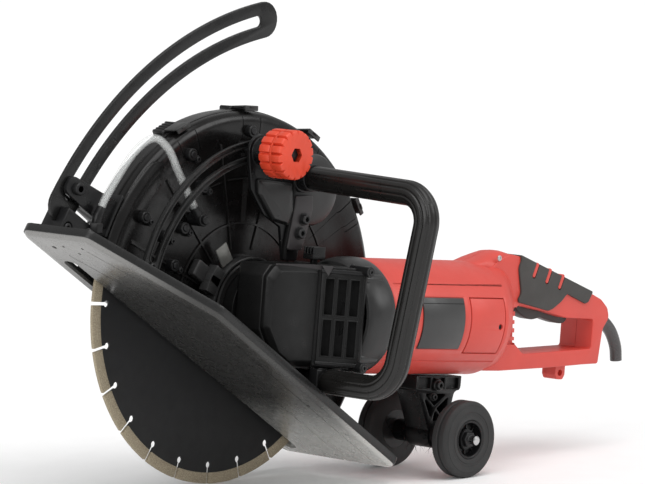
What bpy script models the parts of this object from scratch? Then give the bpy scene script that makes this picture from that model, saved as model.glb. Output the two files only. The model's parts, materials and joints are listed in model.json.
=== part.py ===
"""Hand-held electric concrete cut-off saw with a 355 mm segmented diamond blade.

The saw is described in its own level frame, in millimetres: the blade's centre is the origin, the
motor's axis runs along +X to the rear handle, the spindle's axis is Y with the motor on the -Y side,
and Z is up. One empty, saw_stance, tips that frame so that the saw stands on its blade and its two
wheels, with Z = 0 on the ground. Each solid is one sub-part. A moving solid has its origin on its
joint's axis. Neighbours keep a gap of at least 0.3 mm.
"""

import math

import bmesh
import bpy
from mathutils import Matrix, Vector

MM = 0.001
GAP = 0.3

# Stance: the ground touches the blade and both wheels.
STANCE_TILT = math.radians(5.3)
FOOTPRINT_SHIFT_X = -130.0
FOOTPRINT_SHIFT_Y = 109.1

# Blade and spindle, on the axis X = 0, Z = 0.
BLADE_RADIUS = 177.5
BLADE_THICKNESS = 3.2
BLADE_SEGMENTS = 24
GULLET_WIDTH = 3.2
KEYHOLE_RADIUS = 3.4
KEYHOLE_CENTRE = 159.0
ARBOR_RADIUS = 12.7
FLANGE_RADIUS = 38.0

# Motor, on the axis Y = MOTOR_Y, Z = 0.
MOTOR_Y = -90.0
MOTOR_RADIUS = 58.0
HOUSING_FRONT = 98.0
HOUSING_REAR = 270.0
SHAFT_RADIUS = 6.0
CROWN_TEETH = 39
PINION_TEETH = 8
PINION_OUTER = 38.0
PINION_INNER = 26.0

LOCK_PIN = (47.0, -79.0)

# Guard: a hood in two halves that turns about the spindle.
GUARD_RADIUS = 195.0
GUARD_WALL = 3.0
GUARD_NEAR = -25.0
GUARD_FAR = 14.0
GUARD_SPLIT = -6.0
GUARD_CHORD = -61.0
RIM_STEPS = 44
PIVOT_CLEARANCE = 22.8
RAIL_RADIUS = 159.0
RAIL_NEAR = -54.0
RAIL_FAR = -50.0
KNOB_ANGLE = math.radians(98.0)
CLIP_ANGLES = {"front": 118.0, "top": 90.0, "rear": 62.0, "lower": 32.0}

# Base plate: it tilts on the guard about the pivot. u runs down along the plate to the rear,
# n is the plate's upward normal, both measured from the spindle's axis.
PLATE_ANGLE = math.radians(28.6)
PLATE_TOP = -64.4
PLATE_THICKNESS = 3.0
FLANGE_TOP = -56.0
PIVOT = (111.0, -104.0)
ARC_RADIUS = 401.0
ARC_HALF_WIDTH = 18.0
ARC_SLOT_HALF_WIDTH = 5.5
ARC_NEAR = -12.0
ARC_FAR = -8.0
CLAMP_ANGLE = math.radians(147.5)

# Wheels and their axle, along Y.
AXLE = (221.0, -118.5)
WHEEL_RADIUS = 38.9
WHEEL_HUB_RADIUS = 19.6
WHEEL_WIDTH = 20.0
WHEEL_CENTRES = {"near": -141.0, "far": -39.0}

# Rear handle.
HANDLE_NEAR = -112.0
HANDLE_FAR = -68.0
HANDLE_OUTLINE = (
    (276, -52.6), (276, 62), (282, 67), (292, 70.5), (303, 70.5), (320, 65.5), (439, 29), (456, 23),
    (467, 14.5), (471, 4), (462, -8), (458, -44.5), (434, -45.5), (380, -49), (302, -52.6),
)
FINGER_OPENING = ((319, 16), (370, 9), (401, 3), (445, 2), (445, -23), (441, -29), (337, -35), (322, -24))
HANDLE_CAVITY = (
    (274, -49), (315, -49), (315, 20.5), (330, 18), (372, 12.5), (402, 6.5), (449, 6), (459, 6), (459, 15),
    (453, 20.5), (438, 25.5), (319, 62), (302, 67), (292, 67), (284, 64), (279, 60), (274, 56),
)
HANDLE_WALL = 3.0
TRIGGER_PIVOT = (337.0, 19.0)
TRIGGER_HALF_WIDTH = 7.5
LOCK_BUTTON = (308.0, 36.0)
HANDLE_LUG = ((387, -45), (387, -57), (391, -62), (409, -62), (415, -57), (415, -44))
SLEEVE_BORE = 4.0
SLEEVE_RADIUS = 7.4

# D-shaped front handle: a bent bar with a rubber grip.
HANDLE_BAR_RADIUS = 9.5
HANDLE_GRIP_RADIUS = 12.4
HANDLE_ROUTE = ((39, -62.8, 135), (39, -236, 129), (36, -206, -63.2), (36, -78, -63.2))
HANDLE_BENDS = (28, 34)

COLOURS = {
    "red_plastic": ((0.72, 0.07, 0.05), 0.35, 0.0),
    "black_plastic": ((0.02, 0.02, 0.022), 0.35, 0.0),
    "rubber": ((0.035, 0.034, 0.033), 0.6, 0.0),
    "tyre": ((0.04, 0.04, 0.042), 0.75, 0.0),
    "black_steel": ((0.03, 0.03, 0.03), 0.4, 0.8),
    "blade_core": ((0.015, 0.015, 0.016), 0.6, 0.3),
    "bright_steel": ((0.5, 0.5, 0.52), 0.3, 1.0),
    "gear_steel": ((0.3, 0.3, 0.31), 0.35, 1.0),
    "laminations": ((0.2, 0.2, 0.21), 0.5, 0.7),
    "copper": ((0.6, 0.28, 0.13), 0.35, 1.0),
    "clear_hose": ((0.7, 0.72, 0.72), 0.15, 0.0),
    "label": ((0.05, 0.052, 0.055), 0.4, 0.0),
}


# ---------------------------------------------------------------- shapes, all in millimetres

def arc(centre, radius, start, end, steps):
    """Points on a circle from one angle to another, both in degrees."""
    angles = (math.radians(start + (end - start) * i / steps) for i in range(steps + 1))
    return [(centre[0] + radius * math.cos(a), centre[1] + radius * math.sin(a)) for a in angles]


def circle(centre, radius, sides):
    return arc(centre, radius, 0, 360 * (sides - 1) / sides, sides - 1)


def arc_band(centre, radius, half_width, start, end, steps):
    """Outline of a curved strip with round ends, between two angles in degrees."""
    tip = [centre[0] + radius * math.cos(math.radians(end)), centre[1] + radius * math.sin(math.radians(end))]
    root = [
        centre[0] + radius * math.cos(math.radians(start)),
        centre[1] + radius * math.sin(math.radians(start)),
    ]
    outer = arc(centre, radius + half_width, start, end, steps)
    inner = arc(centre, radius - half_width, end, start, steps)
    return outer + arc(tip, half_width, end, end + 180, 6)[1:-1] + inner + arc(
        root, half_width, start + 180, start + 360, 6
    )[1:-1]


def placed(axis, along, point):
    """A point of a profile drawn square to an axis: (x, z) for Y, (y, z) for X and (x, y) for Z."""
    if axis == "X":
        return Vector((along, point[0], point[1]))
    if axis == "Y":
        return Vector((point[0], along, point[1]))
    return Vector((point[0], point[1], along))


def prism(axis, low, high, outline, *holes):
    """An outline, with any holes, extruded along an axis."""
    bm = bmesh.new()
    for loop in (outline, *holes):
        verts = [bm.verts.new(placed(axis, low, p)) for p in loop]
        for i, vert in enumerate(verts):
            bm.edges.new((vert, verts[i - 1]))
    bmesh.ops.triangle_fill(bm, use_beauty=True, use_dissolve=False, edges=bm.edges[:])
    grown = bmesh.ops.extrude_face_region(bm, geom=bm.faces[:])
    moved = [item for item in grown["geom"] if isinstance(item, bmesh.types.BMVert)]
    bmesh.ops.translate(bm, verts=moved, vec=placed(axis, high - low, (0, 0)))
    bmesh.ops.recalc_face_normals(bm, faces=bm.faces[:])
    return bm


def turned(axis, centre, profile, sides):
    """A profile of (along, radius) points turned about an axis. It is a ring unless it meets the axis."""
    bm = bmesh.new()
    rings = []
    for along, radius in profile:
        if radius == 0:
            rings.append([bm.verts.new(placed(axis, along, centre))])
        else:
            rings.append([bm.verts.new(placed(axis, along, p)) for p in circle(centre, radius, sides)])
    pairs = list(zip(rings, rings[1:]))
    if all(radius > 0 for _, radius in profile):
        pairs.append((rings[-1], rings[0]))
    for one, two in pairs:
        for i in range(sides):
            corners = (one[i % len(one)], one[(i + 1) % len(one)], two[(i + 1) % len(two)], two[i % len(two)])
            bm.faces.new(list(dict.fromkeys(corners)))
    bmesh.ops.recalc_face_normals(bm, faces=bm.faces[:])
    return bm


def ring(axis, centre, low, high, bore, radius, sides):
    return turned(axis, centre, ((low, bore), (high, bore), (high, radius), (low, radius)), sides)


def rod(axis, centre, low, high, radius, sides):
    return prism(axis, low, high, circle(centre, radius, sides))


def box(low, high, bevel=0.0):
    bm = bmesh.new()
    middle = [(a + b) / 2 for a, b in zip(low, high)]
    size = [b - a for a, b in zip(low, high)]
    matrix = Matrix.Translation(middle) @ Matrix.Diagonal((*size, 1))
    bmesh.ops.create_cube(bm, size=1, matrix=matrix)
    if bevel:
        bmesh.ops.bevel(bm, geom=bm.edges[:], offset=bevel, segments=1, affect="EDGES")
    return bm


def lofted(sections):
    """A solid through loops of points, each the same length, with flat ends."""
    bm = bmesh.new()
    rings = [[bm.verts.new(p) for p in section] for section in sections]
    for one, two in zip(rings, rings[1:]):
        for i in range(len(one)):
            bm.faces.new((one[i - 1], one[i], two[i], two[i - 1]))
    bm.faces.new(rings[0])
    bm.faces.new(rings[-1])
    bmesh.ops.recalc_face_normals(bm, faces=bm.faces[:])
    return bm


def joined(*shapes):
    """Separate shapes in one bmesh, for one Boolean to add or cut together."""
    whole = shapes[0]
    for shape in shapes[1:]:
        copy = bpy.data.meshes.new("scratch")
        shape.to_mesh(copy)
        whole.from_mesh(copy)
        bpy.data.meshes.remove(copy)
        shape.free()
    return whole


def rounded_route(corners, bends, steps):
    """A route through corners, with each inner corner rounded to its bend radius."""
    points = [Vector(corners[0])]
    for before, corner, after, bend in zip(corners, corners[1:], corners[2:], bends):
        corner = Vector(corner)
        back = (Vector(before) - corner).normalized()
        ahead = (Vector(after) - corner).normalized()
        half = back.angle(ahead) / 2
        reach = bend / math.tan(half)
        middle = corner + (back + ahead).normalized() * (bend / math.sin(half))
        first = corner + back * reach - middle
        last = corner + ahead * reach - middle
        for i in range(steps + 1):
            points.append(middle + first.slerp(last, i / steps) * bend)
    points.append(Vector(corners[-1]))
    return points


def smooth_route(corners, steps):
    """Points on a Catmull-Rom curve through the corners."""
    corners = [Vector(c) for c in corners]
    ends = [2 * corners[0] - corners[1], *corners, 2 * corners[-1] - corners[-2]]
    points = []
    for p0, p1, p2, p3 in zip(ends, ends[1:], ends[2:], ends[3:]):
        for i in range(steps):
            t = i / steps
            points.append(
                0.5 * (2 * p1 + (p2 - p0) * t + (2 * p0 - 5 * p1 + 4 * p2 - p3) * t**2
                       + (3 * p1 - p0 - 3 * p2 + p3) * t**3)
            )
    return [*points, corners[-1]]


def swept(route, radii, sides, bore=0.0):
    """A round bar, or a tube when it has a bore, along a route. radii holds one radius for each point."""
    bm = bmesh.new()
    tangents = [(b - a).normalized() for a, b in zip(route, route[1:])]
    tangents = [tangents[0], *((a + b).normalized() for a, b in zip(tangents, tangents[1:])), tangents[-1]]
    side = tangents[0].orthogonal().normalized()
    loops = []
    for point, tangent, radius in zip(route, tangents, radii):
        side = (side - tangent * side.dot(tangent)).normalized()
        other = tangent.cross(side)
        turns = [math.tau * i / sides for i in range(sides)]
        spokes = [side * math.cos(t) + other * math.sin(t) for t in turns]
        outer = [bm.verts.new(point + spoke * radius) for spoke in spokes]
        inner = [bm.verts.new(point + spoke * bore) for spoke in spokes] if bore else None
        loops.append((outer, inner))
    for (out_a, in_a), (out_b, in_b) in zip(loops, loops[1:]):
        for i in range(sides):
            bm.faces.new((out_a[i - 1], out_a[i], out_b[i], out_b[i - 1]))
            if bore:
                bm.faces.new((in_a[i], in_a[i - 1], in_b[i - 1], in_b[i]))
    for outer, inner in (loops[0], loops[-1]):
        if bore:
            for i in range(sides):
                bm.faces.new((outer[i - 1], outer[i], inner[i], inner[i - 1]))
        else:
            bm.faces.new(outer)
    bmesh.ops.recalc_face_normals(bm, faces=bm.faces[:])
    return bm


def bolt(axis, centre, seat, tip, head_radius, head_height, shank_radius, sides=6):
    """A bolt whose head stands on its seat, away from its tip."""
    top = seat - math.copysign(head_height, tip - seat)
    profile = ((top, 0), (top, head_radius), (seat, head_radius), (seat, shank_radius), (tip, shank_radius), (tip, 0))
    return turned(axis, centre, profile, sides)


def on_plate(u, n):
    """A point of the saw's XZ plane, from its place along and above the plate's direction."""
    return (
        u * math.cos(PLATE_ANGLE) + n * math.sin(PLATE_ANGLE),
        n * math.cos(PLATE_ANGLE) - u * math.sin(PLATE_ANGLE),
    )


def laid_on_plate(bm):
    """Turns a shape drawn with X along the plate and Z along its normal into the saw's frame."""
    bmesh.ops.rotate(bm, verts=bm.verts[:], cent=(0, 0, 0), matrix=Matrix.Rotation(PLATE_ANGLE, 3, "Y"))
    return bm


def around(centre, radius, angle):
    return (centre[0] + radius * math.cos(angle), centre[1] + radius * math.sin(angle))


# ---------------------------------------------------------------- objects

def clear_scene():
    for obj in list(bpy.data.objects):
        bpy.data.objects.remove(obj, do_unlink=True)


def material(name):
    found = bpy.data.materials.get(name)
    if found:
        return found
    colour, roughness, metallic = COLOURS[name]
    made = bpy.data.materials.new(name)
    made.use_nodes = True
    shader = made.node_tree.nodes["Principled BSDF"]
    shader.inputs["Base Color"].default_value = (*colour, 1)
    shader.inputs["Roughness"].default_value = roughness
    shader.inputs["Metallic"].default_value = metallic
    return made


def mesh_object(name, bm, origin):
    bmesh.ops.translate(bm, verts=bm.verts[:], vec=-Vector(origin))
    bmesh.ops.scale(bm, verts=bm.verts[:], vec=(MM, MM, MM))
    mesh = bpy.data.meshes.new(name)
    bm.to_mesh(mesh)
    bm.free()
    obj = bpy.data.objects.new(name, mesh)
    obj.location = Vector(origin) * MM
    bpy.context.collection.objects.link(obj)
    return obj


def combine(obj, operation, shape, origin, solver="EXACT"):
    """Adds or cuts one shape, held by a hidden object, with a Boolean modifier."""
    tool = mesh_object(f"{obj.name}_{operation.lower()}", shape, origin)
    tool.parent = stance
    tool.hide_render = True
    tool.display_type = "WIRE"
    modifier = obj.modifiers.new(tool.name, "BOOLEAN")
    modifier.operation = operation
    modifier.object = tool
    modifier.solver = solver


def solid(name, shape, finish, origin=(0, 0, 0), add=(), cut=(), add_last=(), solver="EXACT"):
    """One sub-part: a shape, then shapes added, cut and added last. Its origin is on its joint."""
    obj = mesh_object(name, shape, origin)
    obj.parent = stance
    obj.data.materials.append(material(finish))
    for operation, shapes in (("UNION", add), ("DIFFERENCE", cut), ("UNION", add_last)):
        for tool_shape in shapes:
            combine(obj, operation, tool_shape, origin, solver)
    obj.data.shade_smooth()
    obj.data.set_sharp_from_angle(angle=math.radians(30))


# ---------------------------------------------------------------- blade and spindle

SPINDLE = (0, 0)


def blade_outline():
    """The rim of the blade: a keyhole gullet, then one segment, repeated round the core."""
    points = []
    step = math.tau / BLADE_SEGMENTS
    half = GULLET_WIDTH / 2
    for i in range(BLADE_SEGMENTS):
        gullet = i * step
        across = Vector((-math.sin(gullet), math.cos(gullet)))
        along = Vector((math.cos(gullet), math.sin(gullet)))
        turn = math.asin(half / BLADE_RADIUS)
        opening = math.asin(half / KEYHOLE_RADIUS)
        points.append(Vector(around(SPINDLE, BLADE_RADIUS, gullet - turn)))
        for k in range(5):
            angle = opening + (math.tau - 2 * opening) * k / 4
            spoke = along * math.cos(angle) - across * math.sin(angle)
            points.append(along * KEYHOLE_CENTRE + spoke * KEYHOLE_RADIUS)
        for k in range(3):
            angle = gullet + turn + (step - 2 * turn) * k / 3
            points.append(Vector(around(SPINDLE, BLADE_RADIUS, angle)))
    return [tuple(p) for p in points]


def make_blade():
    half = BLADE_THICKNESS / 2
    disc = prism("Y", -half, half, blade_outline(), circle(SPINDLE, ARBOR_RADIUS, 24))
    solid("diamond_blade", disc, "blade_core")


def make_flanges():
    inner = (
        (-8, 12.9), (-8, 22), (-5, FLANGE_RADIUS), (-1.9, FLANGE_RADIUS), (-1.9, 28), (-2.9, 27), (-2.9, 12.9),
    )
    outer = ((1.9, 27), (1.9, FLANGE_RADIUS), (4.5, FLANGE_RADIUS), (7, 20), (7, 5.4), (2.9, 5.4), (2.9, 27))
    solid("inner_flange", turned("Y", SPINDLE, inner, 32), "bright_steel")
    solid("outer_flange", turned("Y", SPINDLE, outer, 32), "bright_steel")
    solid("blade_bolt", bolt("Y", SPINDLE, 7.3, -14, 9, 6, 5), "black_steel")


def make_spindle():
    profile = (
        (-103.8, 0), (-103.8, 4.9), (-95, 4.9), (-95, 9.9), (-62, 9.9), (-62, 8.2), (-41.5, 8.2), (-41.5, 12.4),
        (2.2, 12.4), (2.2, 5.4), (-16, 5.4), (-16, 0),
    )
    solid("spindle", turned("Y", SPINDLE, profile, 24), "gear_steel")


def crown_tooth(angle):
    """One straight bevel tooth, standing on the crown gear's cone."""
    sections = []
    for radius, half, root, tip in ((PINION_INNER, 0.9, -81.5, -84.5), (PINION_OUTER, 1.3, -79.0, -82.0)):
        along = Vector((math.cos(angle), 0, math.sin(angle)))
        across = Vector((-math.sin(angle), 0, math.cos(angle)))
        sections.append([
            along * radius + across * side * half * width + Vector((0, level, 0))
            for side, level, width in ((-1, root, 1.3), (1, root, 1.3), (1, tip, 0.7), (-1, tip, 0.7))
        ])
    return lofted(sections)


def make_crown_gear():
    profile = ((-71, 10.3), (-71, 34), (-75, 39.5), (-79.8, 39.5), (-82.8, 24.5), (-84, 15), (-84, 10.3))
    teeth = [crown_tooth(math.tau * i / CROWN_TEETH) for i in range(CROWN_TEETH)]
    solid("crown_gear", turned("Y", SPINDLE, profile, 26), "gear_steel", add=(joined(*teeth),))


def make_spindle_bearings():
    solid("spindle_bearing_front", ring("Y", SPINDLE, -58.5, -46, 8.5, 17.9, 24), "bright_steel")
    solid("spindle_bearing_rear", ring("Y", SPINDLE, -104, -97.3, 5.2, 11, 20), "bright_steel")


# ---------------------------------------------------------------- gear case

CASE_OUTLINE = (
    (-46, -100.3), (-46, -68), (-38, -60), (46, -60), (63.7, -36), (63.7, -138), (60, -138), (26, -104),
    (26, -100.3),
)
CASE_CAVITY = ((-42, -115), (-42, -68), (-37, -64), (44, -64), (60, -42), (75, -42), (75, -160), (26, -115))


def make_gear_case():
    nose = ring("Y", SPINDLE, -61, -27.6, 18.2, 41, 40)
    solid(
        "gear_case",
        prism("Z", -50, 50, CASE_OUTLINE),
        "black_plastic",
        add=(nose,),
        cut=(
            prism("Z", -45, 45, CASE_CAVITY),
            rod("Y", SPINDLE, -66, -58, 18.2, 40),
            rod("Z", LOCK_PIN, 43, 56, 4, 12),
            rounded_corners(),
        ),
    )


def rounded_corners():
    """The two front corners that the case's side view leaves out."""
    outer = ((-60, -60), (-10, -60), (-10, -50.6), (-30, -41), (-46.5, -14), (-60, -14))
    return joined(
        prism("Y", -110, -59.5, outer),
        prism("Y", -110, -59.5, ((-60, 60), (-60, 38), (-46.5, 38), (-36, 50.6), (-36, 60))),
    )


def make_gear_case_cap():
    outline = ((-46, -12), (-28, -40), (-10, -50), (26, -50), (26, 50), (-34, 50), (-46, 38))
    middle = -8.0
    near = [(middle + (x - middle) * 0.88, z * 0.9) for x, z in outline]
    body = lofted((
        [placed("Y", -100.6, p) for p in outline],
        [placed("Y", -105.3, p) for p in outline],
        [placed("Y", -110.3, p) for p in near],
    ))
    solid("gear_case_cap", body, "black_plastic", cut=(rod("Y", SPINDLE, -104.3, -95, 11.3, 20),))


def make_vent_grille():
    """The slanted cover beside the cap, with three columns and two rows of cooling openings."""
    slope = Vector((1, -1, 0)).normalized()
    out = Vector((-1, -1, 0)).normalized()
    start = Vector((26, -104, 0)) + slope * 5.0 + out * GAP
    length = 42.0
    thick = 3.4

    def slab(a, b, low, high, below, above):
        corners = [start + slope * a - out * below, start + slope * b - out * below]
        corners += [start + slope * b + out * above, start + slope * a + out * above]
        return lofted([[c + Vector((0, 0, level)) for c in corners] for level in (low, high)])

    holes = []
    for column in range(3):
        left = 3.5 + column * 12.5
        for low, high in ((-38, -1.8), (1.8, 38)):
            holes.append(slab(left, left + 9.5, low, high, 3, thick + 3))
    solid("vent_grille", slab(0, length, -45, 45, 0, thick), "black_plastic", cut=(joined(*holes),))


def make_fan_housing():
    profile = ((64, 50), (97.7, 50), (97.7, MOTOR_RADIUS), (72, MOTOR_RADIUS), (64, 55))
    solid("fan_housing", turned("X", (MOTOR_Y, 0), profile, 40), "black_plastic")


# ---------------------------------------------------------------- motor

MOTOR = (MOTOR_Y, 0)


def wall_sector(low, high, inner, outer, bottom, top):
    """A piece of the motor's round wall on the near side, between two heights."""
    start = 180 - math.degrees(math.asin(top / MOTOR_RADIUS))
    end = 180 - math.degrees(math.asin(bottom / MOTOR_RADIUS))
    return prism("X", low, high, arc(MOTOR, outer, start, end, 8) + arc(MOTOR, inner, end, start, 8))


def make_motor_housing():
    profile = (
        (HOUSING_FRONT, 53), (236, 53), (236, 13.2), (250, 13.2), (250, 53), (HOUSING_REAR, 53),
        (HOUSING_REAR, MOTOR_RADIUS), (HOUSING_FRONT, MOTOR_RADIUS),
    )
    solid(
        "motor_housing",
        turned("X", MOTOR, profile, 36),
        "red_plastic",
        cut=(wall_sector(215, 268, 55.4, 62, -32, 24), rod("X", (MOTOR_Y, 34), 230, 256, 6, 12)),
    )
    solid("brush_cover", wall_sector(215.4, 267.6, 55.8, 58.2, -31.5, 23.5), "red_plastic")
    solid("name_plate", wall_sector(140, 201, MOTOR_RADIUS + GAP, MOTOR_RADIUS + 1.1, -27, 23), "label")


def make_motor_inside():
    stator_hole = arc(MOTOR, 31, 0, 345, 23)
    solid("stator", prism("X", 118, 188, circle(MOTOR, 52.6, 32), stator_hole), "laminations")
    solid("bearing_plate", ring("X", MOTOR, 50, 55, 13.3, 33, 28), "black_steel")
    solid("armature_bearing_front", ring("X", MOTOR, 49, 56, 6.3, 13, 20), "bright_steel")
    solid("armature_bearing_rear", ring("X", MOTOR, 240, 248, 6.3, 12.9, 20), "bright_steel")
    for side, sign in (("near", -1), ("far", 1)):
        first, last = sorted((MOTOR_Y + sign * 15.4, MOTOR_Y + sign * 36))
        solid(f"carbon_brush_{side}", box((210, first, -3.5), (221, last, 3.5)), "black_steel")


def rectangle(left, bottom, right, top):
    return ((left, bottom), (right, bottom), (right, top), (left, top))


def make_armature():
    origin = (0, MOTOR_Y, 0)
    profile = ((20, 0), (20, 3), (40, 3), (40, SHAFT_RADIUS), (252, SHAFT_RADIUS), (252, 0))
    solid("armature_shaft", turned("X", MOTOR, profile, 20), "gear_steel", origin)
    bore = SHAFT_RADIUS + GAP
    slots = []
    for i in range(12):
        middle = i * 30
        slots += arc(MOTOR, 29.5, middle - 11, middle + 11, 2)
        slots += [around(MOTOR, 20, math.radians(middle + 13)), around(MOTOR, 20, math.radians(middle + 17))]
    solid("armature_core", prism("X", 124, 184, slots, circle(MOTOR, bore, 16)), "laminations", origin)
    solid("commutator", ring("X", MOTOR, 204, 226, bore, 15, 24), "copper", origin)
    vanes = []
    for i in range(11):
        middle = i * 360 / 11
        vanes += [around(MOTOR, 17, math.radians(middle + 12)), around(MOTOR, 45, math.radians(middle + 20))]
        vanes += [around(MOTOR, 45, math.radians(middle + 24)), around(MOTOR, 17, math.radians(middle + 20))]
    fan = ring("X", MOTOR, 92, 95, bore, 47, 33)
    solid("fan", prism("X", 76, 93, vanes, circle(MOTOR, bore, 16)), "black_plastic", origin, add=(fan,))
    sections = []
    for along, pitch in ((PINION_INNER, 5.1), (PINION_OUTER, 7.5)):
        tooth = []
        for i in range(PINION_TEETH):
            middle = i * 360 / PINION_TEETH
            tooth += arc(MOTOR, pitch, middle - 8, middle + 8, 1)
            tooth += arc(MOTOR, pitch * 0.72, middle + 17, middle + 28, 1)
        sections.append([placed("X", along, p) for p in tooth])
    solid("pinion", lofted(sections), "gear_steel", origin, cut=(rod("X", MOTOR, 20, 45, 3.2, 12),))


# ---------------------------------------------------------------- rear handle

def handle_body():
    return prism("Y", HANDLE_NEAR, HANDLE_FAR, HANDLE_OUTLINE, FINGER_OPENING)


def handle_bell():
    """The flare that runs from the round motor housing down to the handle's flat sides."""
    sections = []
    for along, half_y, half_z, lift in ((270.3, 56, 56, 0), (284, 50, 57, 2), (302, 34, 57, 3), (318, 22, 54, 4)):
        sections.append([
            Vector((along, MOTOR_Y + half_y * math.cos(a), lift + half_z * math.sin(a)))
            for a in (math.tau * i / 28 for i in range(28))
        ])
    return lofted(sections)


def bell_cavity():
    sections = []
    for along, half_y, half_z in ((265, 52, 52), (284, 46, 53), (300, 30, 52), (312, 19, 48)):
        sections.append([
            Vector((along, MOTOR_Y + half_y * math.cos(a), 2 + half_z * math.sin(a)))
            for a in (math.tau * i / 20 for i in range(20))
        ])
    return lofted(sections)


def sleeve_route():
    corners = ((453, 5), (468, 4.5), (482, 0.5), (494, -6.5), (503, -15), (511, -28.5), (514, -43))
    return smooth_route([(x, MOTOR_Y, z) for x, z in corners], 1)


def make_rear_handle():
    route = sleeve_route()
    for side, low, high in (("near", MOTOR_Y - GAP / 2, 0), ("far", -200, MOTOR_Y + GAP / 2)):
        solid(
            f"rear_handle_{side}",
            handle_body(),
            "red_plastic",
            add=(handle_bell(), prism("Y", -104, -84, HANDLE_LUG)),
            cut=(
                prism("Y", HANDLE_NEAR + HANDLE_WALL, HANDLE_FAR - HANDLE_WALL, HANDLE_CAVITY),
                bell_cavity(),
                trigger_pocket(),
                swept(route, [SLEEVE_RADIUS + 0.7] * len(route), 10),
                rod("Y", LOCK_BUTTON, -80, -50, 5.4, 12),
                box((260, low, -90), (520, high, 90)),
            ),
            solver="MANIFOLD",
        )


def trigger_pocket():
    half = TRIGGER_HALF_WIDTH + 0.5
    return box((333.5, MOTOR_Y - half, -12.2), (421.5, MOTOR_Y + half, 23))


def make_grip_pad():
    """The rubber saddle over the handle's back, open below so that it sits on the two shells."""
    pad = (
        (319, 18.7), (325.4, 27), (318.6, 50), (319, 67.7), (439.5, 31), (437, 27), (433, 20), (428, 18.3),
        (398, 28), (389, 19.6), (377, 12.3), (370, 10), (350, 13.4),
    )
    inside = ((300, 0), (300, 71.8), (320, 65.95), (439, 29.45), (470, 19.9), (470, 0))
    solid(
        "grip_pad",
        prism("Y", HANDLE_NEAR - 1.8, HANDLE_FAR + 1.8, pad),
        "rubber",
        cut=(prism("Y", HANDLE_NEAR - GAP, HANDLE_FAR + GAP, inside),),
    )


def make_trigger():
    outline = (
        (337, 24), (335, 14), (341, 7), (352, 1.5), (363, -0.6), (370, 0.2), (377, 2), (386, 0), (400, -3),
        (410, -4.3), (417, -3), (420, 2), (417, 10), (400, 13), (352, 19.5), (342, 22),
    )
    body = prism("Y", MOTOR_Y - TRIGGER_HALF_WIDTH, MOTOR_Y + TRIGGER_HALF_WIDTH, outline)
    solid("trigger", body, "black_plastic", (TRIGGER_PIVOT[0], MOTOR_Y, TRIGGER_PIVOT[1]))


def make_lock_button():
    """The lock-off button on the handle's far side, which is pushed in against its spring."""
    profile = ((-76, 0), (-76, 7), (-73.5, 7), (-73.5, 5), (-59, 5), (-58, 4), (-58, 0))
    button = turned("Y", LOCK_BUTTON, profile, 16)
    solid("lock_off_button", button, "black_plastic", (LOCK_BUTTON[0], -66, LOCK_BUTTON[1]))


def make_handle_inside():
    solid("switch_module", box((346, MOTOR_Y - 12, 23.8), (392, MOTOR_Y + 12, 36), 1.5), "black_plastic")
    route = sleeve_route()
    radii = [SLEEVE_RADIUS - 1.1 * i / (len(route) - 1) for i in range(len(route))]
    solid("cable_sleeve", swept(route, radii, 10, bore=SLEEVE_BORE), "rubber")


# ---------------------------------------------------------------- front handle and its bracket

def handle_route():
    return rounded_route(HANDLE_ROUTE, HANDLE_BENDS, 5)


def make_front_handle():
    route = handle_route()
    solid("front_handle_bar", swept(route, [HANDLE_BAR_RADIUS] * len(route), 14), "black_steel")
    covered = [route[0] + Vector((0, -14, -14 * 6 / 173.7)), *route[1:-1], route[-1] + Vector((0, -40, 0))]
    grip = swept(covered, [HANDLE_GRIP_RADIUS] * len(covered), 14, bore=HANDLE_BAR_RADIUS + 2 * GAP)
    solid("front_handle_grip", grip, "rubber")


def make_handle_bracket():
    knob = around(SPINDLE, RAIL_RADIUS, KNOB_ANGLE)
    end = (39, 135)
    outline = [
        *arc(knob, 17, 60, 190, 6), (-32, 120), (-12, 96), (13, 84), (20, 51), (40, 51), (50, 98),
        *arc(end, 16, -20, 80, 4),
    ]
    solid(
        "handle_bracket",
        prism("Y", -62, -58, outline),
        "black_steel",
        add=(rod("Y", knob, -80, -61, 12, 20),),
        cut=(rod("Y", knob, -90, -50, 3.9, 12),),
    )


def make_clamp_knob():
    knob = around(SPINDLE, RAIL_RADIUS, KNOB_ANGLE)
    origin = (knob[0], 0, knob[1])
    flutes = []
    for i in range(16):
        middle = i * 22.5
        flutes += arc(knob, 26, middle - 7, middle + 7, 2)
        flutes.append(around(knob, 24, math.radians(middle + 11.25)))
    solid(
        "clamp_knob",
        prism("Y", -110, -80.3, flutes, circle(knob, 3.9, 12)),
        "red_plastic",
        origin,
        cut=(rod("Y", knob, -115, -101, 7.4, 6),),
    )
    solid("knob_screw", bolt("Y", knob, -101.3, -42.5, 6.6, 4.5, 3.5), "black_steel", origin)


def make_spindle_lock():
    """A ribbed button on top of the case. Pressed, its pin drops behind the crown gear."""
    x, y = LOCK_PIN
    solid(
        "spindle_lock_button",
        prism("Z", 54.5, 67, rectangle(x - 9, y - 7, x + 9, y + 7)),
        "black_plastic",
        (x, y, 60),
        add=(rod("Z", LOCK_PIN, 40, 56, 3.6, 12),),
    )


# ---------------------------------------------------------------- wheels and their support

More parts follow.
